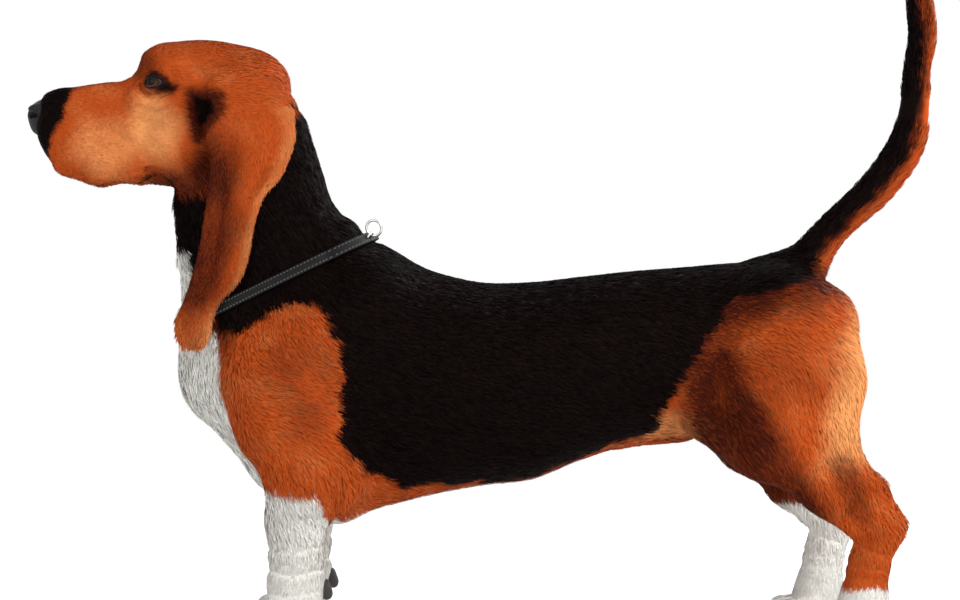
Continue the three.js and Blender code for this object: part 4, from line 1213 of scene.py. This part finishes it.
# ---- Whiskers ----
# Stiff, springy hairs, in rows on the upper lip and two over each eye.
# They are rooted in the skin, taper to a point and curve back a little.
WHISKERS = [
    (-396, 470, 30), (-386, 478, 34), (-376, 484, 34), (-390, 458, 34), (-378, 462, 38),
    (-366, 468, 38), (-384, 446, 32), (-370, 448, 36), (-356, 454, 34), (-306, 552, 20),
    (-296, 552, 22),
]
WHISKER_THICK = 0.2
hair_points, hair_faces = [], []
for wx, wz, long in WHISKERS:
    for side in (-1, 1):
        start = np.array([wx, 0.0, wz])
        start[1] = reach(flesh_and_head, start[None], np.array([0.0, 1, 0]), 0, 90, 18)[0] - 1.0
        way = np.array([0.25, 0.9, 0.55]) if wz > 540 else np.array([-0.1, 0.95, -0.12])
        for n in range(6):
            t = n / 5
            middle = start + way * long * t + np.array([0.45, 0, -0.35]) * long * t * t * 0.6
            radius = WHISKER_THICK * (1 - 0.9 * t)
            for k in range(4):
                a = math.pi / 2 * k
                out = radius * np.array([math.cos(a), 0, math.sin(a)])
                hair_points.append((middle + out) * [1, side, 1])
        base = len(hair_points) - 24
        for n in range(5):
            for k in range(4):
                a, b = base + n * 4 + k, base + n * 4 + (k + 1) % 4
                face = [a, a + 4, b + 4, b]
                hair_faces.append(face if side > 0 else face[::-1])
whiskers = make_mesh("whiskers", np.array(hair_points), hair_faces)
whiskers.data.materials.append(moist_skin("whisker_hair", (0.10, 0.05, 0.03), (0.30, 0.2, 0.13)))
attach(whiskers, "root")

# ---- Stopper pads ----
# A small, rough, black pad at the back of each wrist, clear of the ground.
# It is a bare bump of thick skin that grows out between the hairs.
pad_core = ball([-146, 66, 55], [6, 8, 9], -20)
pad_tip = ball([-142, 65, 50], [5, 6, 6])


def pad_field(p):
    return melt(pad_core(p), pad_tip(p), 5)


def pad_paint():
    paint = Paint("rough_pad_skin")
    cells = paint.add("ShaderNodeTexVoronoi", {"feature": "SMOOTH_F1"}, Vector=paint.place(), Scale=1100.0)
    grain = paint.noise(700, 3.0)
    normal = paint.bumps(cells, 0.8, 0.0006)
    return paint.surface(
        Base_Color=paint.mix(grain, (0.008, 0.006, 0.006), (0.035, 0.028, 0.026)),
        Roughness=(0.6 + grain * 0.25).clamped(),
        Normal=normal,
    )


pad_finish = pad_paint()
pad_points, pad_faces = sculpt(pad_field, [-160, 50, 35], [-128, 84, 72], 1.2)
for side, name in ((-1, "left"), (1, "right")):
    faces = pad_faces if side > 0 else pad_faces[:, ::-1]
    pad = make_mesh("stopper_pad_" + name, pad_points * [1, side, 1], faces)
    pad.data.materials.append(pad_finish)
    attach(pad, "root")

# ---- Claws ----
# Blunt, slightly curved horn, dark at the root and paler at the worn tip, one in each toe.
# They grow out of the toe's end and point forwards and down to the floor.
CLAW_LONG = 17
CLAW_THICK = 3.6


def claw_paint():
    paint = Paint("claw_horn")
    along = paint.value("along")
    grain = paint.noise(500, 3.0, paint.stretched(0.3, 1, 1))
    stops = [(0.0, (0.05, 0.035, 0.03)), (0.6, (0.16, 0.12, 0.09)), (1.0, (0.42, 0.36, 0.28))]
    colour = paint.add("ShaderNodeValToRGB", {"stops": stops}, (along + (grain - 0.5) * 0.3).clamped())
    normal = paint.bumps(grain, 0.3, 0.0004)
    rough = (0.3 + grain * 0.2).clamped()
    return paint.surface(Base_Color=colour, Roughness=rough, Normal=normal)


def claw_set(name, kind, side, shift):
    points, faces, along = [], [], []
    steps, spokes = 8, 12
    for across in TOES:
        _, _, tip, way = toe_places(kind, across)
        size = kind["size"]
        right = np.array([way[1], -way[0], 0.0])
        start = np.array(tip) + way * 5 * size
        base = len(points)
        for step in range(steps + 1):
            t = step / steps
            forward = CLAW_LONG * size * t
            middle = start + way * forward - np.array([0, 0, 0.16 * forward + 5.0 * size * t * t])
            down = np.array([0, 0, 1.0])
            radius = CLAW_THICK * size * math.sqrt(max(1 - t**1.8, 0.0)) + 0.15
            for spoke in range(spokes):
                a = 2 * math.pi * spoke / spokes
                p = middle + right * radius * 0.8 * math.cos(a) + down * radius * math.sin(a)
                points.append([p[0] + shift, p[1] * side, max(p[2], 0.3)])
                along.append(t)
        faces += tube_faces(steps + 1, spokes, base, turned=side < 0)
        cap = base + steps * spokes
        faces.append(list(range(cap, cap + spokes))[:: side])
    made = make_mesh(name, np.array(points), faces)
    put_values(made.data, {"along": along})
    return made


claw_finish = claw_paint()
for side, name in ((-1, "left"), (1, "right")):
    for kind, place in ((FORE_PAW, "fore"), (HIND_PAW, "hind")):
        shift = -FAR_STEP if place == "hind" and side > 0 else 0
        claws = claw_set(f"claws_{place}_{name}", kind, side, shift)
        claws.data.materials.append(claw_finish)
        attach(claws, "root")

# ---- Collar ----
# A narrow, dark strap that lies slack at the foot of the neck, with a bright ring at the nape.
# The strap is smooth leather with rounded edges, and lies on the coat all the way round.
STRAP_WIDTH = 10.0
STRAP_THICK = 3.2
STRAP_SPANS = 160
TO_NAPE = np.cross([0, 1, 0], STRAP_ACROSS)


def strap_ways(angles):
    return np.cos(angles)[:, None] * TO_NAPE + np.sin(angles)[:, None] * np.array([0, 1.0, 0])


def on_strap(angles, offset, height):
    """Points a height above the coat, at angles from the nape and an offset across the strap."""
    ways = strap_ways(angles)
    middle = np.tile(COLLAR_AT + STRAP_ACROSS * offset, (len(angles), 1))
    return middle + ways * (reach(flesh, middle, ways, 20, 170, 20) + height)[:, None]


def hoop(rings):
    """A closed loop of rings, each the same number of points."""
    return rings.reshape(-1, 3), tube_faces(*rings.shape[:2], closed=True)


def strap_paint():
    paint = Paint("dark_strap_leather")
    grain = paint.noise(700, 4.0)
    worn = paint.noise(60, 3.0)
    colour = paint.mix(worn, (0.002, 0.002, 0.0021), (0.008, 0.0078, 0.0078))
    normal = paint.bumps(grain, 0.4, 0.0004)
    rough = (0.5 + worn * 0.25).clamped()
    return paint.surface(
        Base_Color=colour,
        Roughness=rough,
        Normal=normal,
        Specular_IOR_Level=0.18,
    )


angles = np.linspace(0, 2 * math.pi, STRAP_SPANS, endpoint=False)
half = STRAP_WIDTH / 2
one_edge = [(-half, -2), (-half, 1.9), (-half + 0.7, 2.8), (-half + 2, STRAP_THICK)]
profile = one_edge + [(-across, height) for across, height in reversed(one_edge)]
rings = np.stack([on_strap(angles, offset, height) for offset, height in profile], axis=1)
strap = make_mesh("collar_strap", *hoop(rings[:, ::-1]))
strap.data.materials.append(strap_paint())
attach(strap, "root")
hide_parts("collar")

# ---- Stitches of the collar ----
# Two rows of short, slanting stitches in waxed thread, one along each edge of the strap.
# They are drawn tight, so each is half sunk in the leather.
stitch_points, stitch_faces = [], []
stitch_count = 150
stitch_angles = np.linspace(0, 2 * math.pi, stitch_count, endpoint=False)
for offset in (-half + 1.9, half - 1.9):
    start = on_strap(stitch_angles, offset, STRAP_THICK)
    end = on_strap(stitch_angles + 0.024, offset + 0.3, STRAP_THICK)
    for a, b in zip(start, end):
        way = (b - a) / np.linalg.norm(b - a)
        out = np.cross(way, STRAP_ACROSS)
        out /= np.linalg.norm(out)
        base = len(stitch_points)
        for t, r in ((0, 0.12), (0.2, 0.38), (0.8, 0.38), (1, 0.12)):
            for k in range(6):
                turn = 2 * math.pi * k / 6
                p = a + (b - a) * t + r * (math.cos(turn) * STRAP_ACROSS + math.sin(turn) * out)
                stitch_points.append(p)
        stitch_faces += tube_faces(4, 6, base)
stitches = make_mesh("collar_stitches", np.array(stitch_points), stitch_faces)


def thread_paint():
    paint = Paint("waxed_thread")
    twist = paint.noise(2500, 2.0)
    colour = paint.mix(twist, (0.05, 0.05, 0.052), (0.16, 0.155, 0.15))
    rough = (0.5 + twist * 0.2).clamped()
    return paint.surface(Base_Color=colour, Roughness=rough)


stitches.data.materials.append(thread_paint())
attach(stitches, "root")

# ---- Ring of the collar ----
# A welded ring of bright wire that stands up at the nape.
# A small loop of the same wire goes through the strap and holds it.
RING_ANGLE = math.radians(-14)
RING_RADIUS = 7.5
RING_WIRE = 1.2
LOOP_RADIUS = 4.8
loop_foot = on_strap(np.array([RING_ANGLE]), 0, STRAP_THICK)[0]
_, loop_out = slope_of(flesh, loop_foot[None])
loop_out = loop_out[0] / np.linalg.norm(loop_out[0])
loop_along = np.cross(STRAP_ACROSS, loop_out)
loop_along /= np.linalg.norm(loop_along)
loop_hole = np.cross(loop_out, loop_along)


def wire_ring(centre, radius, wire, hole, first):
    second = np.cross(hole, first)
    turns = np.linspace(0, 2 * math.pi, 64, endpoint=False)
    around = np.linspace(0, 2 * math.pi, 14, endpoint=False)
    rings = np.array(
        [
            [
                centre
                + (radius + wire * math.cos(b)) * (math.cos(a) * first + math.sin(a) * second)
                + wire * math.sin(b) * hole
                for b in around
            ]
            for a in turns
        ]
    )
    return hoop(rings)


def wire_paint():
    paint = Paint("bright_wire")
    scuffs = paint.noise(900, 4.0)
    colour = paint.mix(scuffs, (0.62, 0.64, 0.6), (0.83, 0.85, 0.82))
    rough = (0.16 + scuffs * 0.22).clamped()
    return paint.surface(Base_Color=colour, Roughness=rough, Metallic=1.0)


wire_finish = wire_paint()
ring_centre = loop_foot + loop_out * (RING_WIRE + 0.6 + RING_RADIUS)
ring = make_mesh("collar_lead_ring", *wire_ring(ring_centre, RING_RADIUS, RING_WIRE, loop_along, loop_out))
loop = make_mesh("collar_wire_loop", *wire_ring(loop_foot, LOOP_RADIUS, RING_WIRE, loop_hole, loop_out))
for piece in (ring, loop):
    piece.data.materials.append(wire_finish)
    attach(piece, "root")
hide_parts("collar_ring")

# ---- Coat ----
# Short hair in fine, overlapping tufts that lie along the body, longest on the rump, the breast
# and the underside of the tail, and shortest on the face and feet.
# Each tuft is a thin pointed blade. It carries the colour of the place that it grows from.
rng = np.random.default_rng(7)
DENSITY = 0.30
PATCH = 0.003
HAIR_LONG, HAIR_WIDE, HAIR_LIFT = 11.0, 1.5, 1.45


def hair_way(p):
    """The way that the hair lies, before it is laid on the skin."""
    x, s, z = p[:, 0], np.abs(p[:, 1]), p[:, 2]
    left_right = np.sign(p[:, 1])
    way = np.column_stack([np.ones(len(p)), 0 * x, -0.38 + 0 * x])

    def turn(share, to):
        way[:] = way * (1 - share[:, None]) + np.array(to) * share[:, None]

    turn(smooth(-x, 95, 170) * smooth(z, 240, 300), [0.55, 0, -1.0])
    turn(smooth(-x, 200, 240) * smooth(-z, -330, -290), [0.15, 0, -1.0])
    turn(smooth(-x, 70, 130) * smooth(-z, -230, -150), [0.3, 0, -1.0])
    turn(smooth(x, 215, 290) * smooth(-z, -330, -230), [0.35, 0, -1.0])
    turn(smooth(-z, -110, -70), [-0.15, 0, -1.0])
    turn(smooth(-z, -42, -24), [-1.0, 0, -0.35])
    turn(smooth(-x, 165, 195) * smooth(z, 435, 470), [1.0, 0, -0.15])
    turn(smooth(-x, 300, 330) * smooth(z, 425, 435) * smooth(-z, -500, -470), [1.0, 0, -0.45])
    _, near_tail, along = tail_side(p)
    on_tail = smooth(-near_tail, -36, -26) * smooth(x, 292, 316) * smooth(z, 350, 366)
    way = way * (1 - on_tail[:, None]) + along * on_tail[:, None]
    on_ear = smooth(-ear(one_side(p)), -6, -2) * smooth(-z, -520, -470)
    way = way * (1 - on_ear[:, None]) + np.column_stack([-0.12 + 0 * x, 0 * x, -1 + 0 * x]) * on_ear[:, None]
    way[:, 1] += 0.12 * left_right * smooth(z, 520, 560) * smooth(-x, 180, 220)
    return way


skin.data.calc_loop_triangles()
triangles = np.empty(len(skin.data.loop_triangles) * 3, np.int32)
skin.data.loop_triangles.foreach_get("vertices", triangles)
triangles = triangles.reshape(-1, 3)
normals = np.empty(len(skin_points) * 3, np.float32)
skin.data.vertices.foreach_get("normal", normals)
normals = normals.reshape(-1, 3).astype(float)
corners = skin_points[triangles]
middles = corners.mean(1)
areas = np.linalg.norm(np.cross(corners[:, 1] - corners[:, 0], corners[:, 2] - corners[:, 0]), axis=1) / 2


def smallness(p):
    """1 where the hair is shortest: on the face, the ears and the feet."""
    x, z = p[:, 0], p[:, 2]
    face = smooth(-x, 180, 290) * smooth(z, 425, 455)
    ears = smooth(-ear(one_side(p)), -6, -2)
    feet = smooth(-z, -120, -50)
    return np.maximum.reduce([face, 0.8 * ears, 0.9 * feet])


small = smallness(middles)


def lip(p):
    """1 along the lower edge of the upper lips, where the hair is shorter still."""
    return smooth(-p[:, 2], -452, -440) * smooth(-p[:, 0], 296, 304) * smooth(p[:, 0], -424, -412)


strap_off = (middles - COLLAR_AT) @ STRAP_ACROSS
mirrored = np.abs(middles) * [-1, 1, 1]
under_strap = (strap_off > -6) & (strap_off < 9) & (middles[:, 2] < 400)
thickness = DENSITY * (1 + 1.5 * small)
thickness[under_strap & (ear(mirrored) > 3)] = 0
thickness[middles[:, 2] < 2.0] = 0
eye_off = mirrored - EYE
lid = np.hypot(eye_off @ EYE_LEVEL / 10.5, eye_off @ EYE_UP / 7.0)
thickness[(np.linalg.norm(eye_off, axis=1) < 17) & (lid < 1)] = 0
thickness[np.linalg.norm((mirrored - [-412, 0, 497]) / [22, 20, 18], axis=1) < 1] = 0
owners = np.repeat(np.arange(len(triangles)), rng.poisson(areas * thickness))
weights = rng.dirichlet([1, 1, 1], len(owners))
roots = (corners[owners] * weights[:, :, None]).sum(1)
out = (normals[triangles[owners]] * weights[:, :, None]).sum(1)
out /= np.linalg.norm(out, axis=1, keepdims=True)
way = hair_way(roots) + 0.16 * rng.standard_normal((len(roots), 3))
way -= (way * out).sum(1)[:, None] * out
way /= np.linalg.norm(way, axis=1, keepdims=True) + 1e-9
fineness = smallness(roots)
x, z = roots[:, 0], roots[:, 2]
shaggy = np.maximum.reduce(
    [
        smooth(x, 300, 340) * smooth(z, 180, 230) * smooth(-z, -350, -330),
        smooth(-x, 215, 265) * smooth(-z, -330, -290) * smooth(z, 150, 190),
        0.2 * smooth(-z, -170, -140) * smooth(z, 100, 120),
        0.25 * smooth(z, 372, 400) * smooth(x, 300, 330),
    ]
)
length = (HAIR_LONG - 7.0 * fineness + 4.0 * shaggy) * rng.uniform(0.75, 1.2, len(roots))
length *= 1 - 0.7 * lip(roots)
width = (HAIR_WIDE - 0.75 * fineness) * rng.uniform(0.8, 1.2, len(roots))
lift = (HAIR_LIFT - 1.0 * fineness + 0.7 * shaggy) * rng.uniform(0.5, 1.3, len(roots))
side = np.cross(out, way)
twist = rng.uniform(-0.35, 0.35, len(roots))[:, None]
side = side + twist * out
low = roots - 0.5 * out
middle = roots + way * (0.5 * length)[:, None] + out * (0.85 * lift)[:, None]
tip = roots + way * length[:, None] + out * (lift * 0.75)[:, None]
wide = width[:, None] / 2
near = side * wide
blades = np.stack([low + near, low - near, middle - near * 0.8, middle + near * 0.8, tip], axis=1)
blades[:, :, 2] = np.maximum(blades[:, :, 2], 0.4)
blade_marks = markings(roots)
blade_marks["shade"] = rng.random(len(roots))
blade_normals = out + 0.28 * rng.standard_normal(out.shape)
blade_normals /= np.linalg.norm(blade_normals, axis=1, keepdims=True)


def around(y, z):
    """Where a place lies round a middle line, from 0 to 1."""
    return np.arctan2(y, z) / (2 * math.pi) + 0.5


def leg_unwrap(p):
    """Each leg has its own quarter of the map: round the leg, and up it."""
    fore = p[:, 0] < 60
    cx = np.where(fore, -170, 300 + 30 * smooth(-p[:, 2], -190, -100))
    turn = around(np.abs(p[:, 1]) - 78, p[:, 0] - cx)
    quarter = fore * 2 + (p[:, 1] > 0)
    return np.column_stack([(quarter + 0.03 + 0.94 * turn) / 4, 0.03 + 0.94 * p[:, 2] / 260])


def ear_unwrap(p):
    """Outer and inner face of both ears, side by side."""
    s = np.abs(p[:, 1])
    g = np.clip(((p[:, [0, 2]] - EAR_LOW) / EAR_STEP).astype(int), 0, np.array(EAR_GRID) - 1)
    outer = s > ear_out[g[:, 0], g[:, 1]]
    quarter = outer * 2 + (p[:, 1] > 0)
    across = np.clip((p[:, 0] + 285) / 130, 0, 1)
    up = np.clip((p[:, 2] - 270) / 270, 0, 1)
    return np.column_stack([(quarter + 0.03 + 0.94 * across) / 4, 0.03 + 0.94 * up])


def head_unwrap(p):
    return np.column_stack([around(p[:, 1], p[:, 2] - 490), np.clip((p[:, 0] + 435) / 280, 0, 1)])


def tail_unwrap(p):
    middle = between([[row[2], row[0]] for row in TAIL], p[:, 2])[0]
    return np.column_stack([around(p[:, 1], p[:, 0] - middle), (p[:, 2] - 350) / 330])


def neck_unwrap(p):
    return np.column_stack([around(p[:, 1], p[:, 0] + 205), (p[:, 2] - 270) / 270])


def trunk_unwrap(p):
    return np.column_stack([around(p[:, 1], p[:, 2] - 245), (p[:, 0] + 300) / 680])


ear_near = ear(np.abs(roots) * [-1, 1, 1]) < 3.5
above_throat = (roots - [-297, 0, 427]) @ np.array([-0.54, 0, 0.84]) > 0
below_stifle = (x > 199) & ((roots - [199, 0, 185]) @ np.array([0.33, 0, -0.945]) > 0)
regions = {}
free = np.ones(len(roots), bool)


def claim(name, mask, unwrap):
    regions[name] = (mask & free, unwrap)
    free[mask] = False


claim("coat_ears", ear_near & (z < 505), ear_unwrap)
claim("coat_head", above_throat, head_unwrap)
claim("coat_tail", (x > 300) & (z > 366), tail_unwrap)
claim("coat_forelegs", (z < 128) & (x < 60), leg_unwrap)
claim("coat_hind_legs", below_stifle, leg_unwrap)
claim("coat_neck", (roots - COLLAR_AT) @ STRAP_ACROSS > 0, neck_unwrap)
claim("coat_shoulders", x < -40, trunk_unwrap)
claim("coat_flanks", x < 170, trunk_unwrap)
claim("coat_rump", free.copy(), trunk_unwrap)

coat_finish = coat_paint("short_coat_hair", True)


def coat_piece(name, chosen, unwrap):
    shape = blades[chosen]
    count = len(shape)
    mesh = bpy.data.meshes.new(name)
    mesh.vertices.add(count * 5)
    mesh.vertices.foreach_set("co", (shape * MM).astype(np.float32).ravel())
    start = np.arange(count)[:, None] * 5
    loops = np.concatenate([start + [0, 1, 2, 3], start + [3, 2, 4]], axis=1)
    mesh.loops.add(count * 7)
    mesh.loops.foreach_set("vertex_index", loops.astype(np.int32).ravel())
    mesh.polygons.add(count * 2)
    firsts = (np.arange(count)[:, None] * 7 + [0, 4]).ravel()
    mesh.polygons.foreach_set("loop_start", firsts.astype(np.int32))
    mesh.polygons.foreach_set("use_smooth", np.ones(count * 2, bool))
    mesh.update(calc_edges=True)
    mesh.validate()
    marks = {key: np.repeat(values[chosen], 5) for key, values in blade_marks.items()}
    put_values(mesh, marks)
    patch = (np.array([[0, 0], [1, 0], [1, 0.6], [0, 0.6], [0.5, 1]]) - 0.5) * PATCH
    places = np.clip(unwrap(roots[chosen]), 0.004, 0.996)[:, None, :] + patch
    layer = mesh.uv_layers.new(name="OFBake")
    corner_uv = places[:, [0, 1, 2, 3, 3, 2, 4]]
    layer.data.foreach_set("uv", corner_uv.astype(np.float32).ravel())
    mesh.normals_split_custom_set_from_vertices(np.repeat(blade_normals[chosen], 5, axis=0).tolist())
    made = bpy.data.objects.new(name, mesh)
    bpy.context.scene.collection.objects.link(made)
    made.data.materials.append(coat_finish)
    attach(made, "root")


for name, (chosen, unwrap) in regions.items():
    coat_piece(name, chosen, unwrap)

# ---- Studio ----
# A pale floor that fades into a white room on every side, and large soft lights all round.
# None of it belongs to the dog.
FLOOR_REACH, FADE_FROM, FADE_WIDTH = 3.4, 1.5, 1.8
turns = np.linspace(0, 2 * math.pi, 96, endpoint=False)
floor_points = np.column_stack([np.cos(turns), np.sin(turns), 0 * turns]) * FLOOR_REACH * 1000
floor = make_mesh("pale_floor", floor_points, [list(range(len(turns)))], False)


def floor_paint():
    paint = Paint("matt_pale_floor")
    fibre = paint.noise(300, 3.0)
    colour = paint.mix(fibre, (0.83, 0.83, 0.83), (0.86, 0.86, 0.86))
    matt = paint.add(
        "ShaderNodeBsdfPrincipled",
        None,
        Base_Color=colour,
        Roughness=0.9,
        Emission_Color=(1.0, 1.0, 1.0),
        Emission_Strength=0.08,
    )
    far = paint.add("ShaderNodeVectorMath", {"operation": "LENGTH"}, paint.place())
    fade = ((far - FADE_FROM) * (1 / FADE_WIDTH)).clamped()
    clear = paint.add("ShaderNodeBsdfTransparent")
    return paint.finish(paint.add("ShaderNodeMixShader", None, fade, matt, clear))


floor.data.materials.append(floor_paint())

world = bpy.data.worlds.new("white_room")
world.use_nodes = True
room = world.node_tree
lit = room.nodes["Background"]
lit.inputs["Color"].default_value = (1, 1, 1, 1)
lit.inputs["Strength"].default_value = 0.82
seen = room.nodes.new("ShaderNodeBackground")
seen.inputs["Color"].default_value = (1, 1, 1, 1)
seen.inputs["Strength"].default_value = 1.0
either = room.nodes.new("ShaderNodeMixShader")
rays = room.nodes.new("ShaderNodeLightPath")
room.links.new(rays.outputs["Is Camera Ray"], either.inputs["Fac"])
room.links.new(lit.outputs["Background"], either.inputs[1])
room.links.new(seen.outputs["Background"], either.inputs[2])
room.links.new(either.outputs["Shader"], room.nodes["World Output"].inputs["Surface"])
bpy.context.scene.world = world


def soft_light(name, place, target, size, power):
    light = bpy.data.lights.new(name, "AREA")
    light.size = size
    light.energy = power
    made = bpy.data.objects.new(name, light)
    made.location = place
    way = np.array(target) - np.array(place)
    yaw = math.atan2(way[1], way[0]) - math.pi / 2
    pitch = math.atan2(way[2], math.hypot(way[0], way[1]))
    made.rotation_euler = (math.pi / 2 + pitch, 0, yaw)
    bpy.context.scene.collection.objects.link(made)


soft_light("key", (2.3, -2.3, 2.2), (0.1, 0, 0.3), 1.6, 112)
soft_light("fill", (-2.4, -2.2, 1.4), (0, 0, 0.3), 2.0, 22)
soft_light("back", (2.0, 1.8, 2.0), (0.1, 0, 0.35), 1.4, 75)

bpy.context.scene.view_settings.view_transform = "Standard"
bpy.context.view_layer.update()
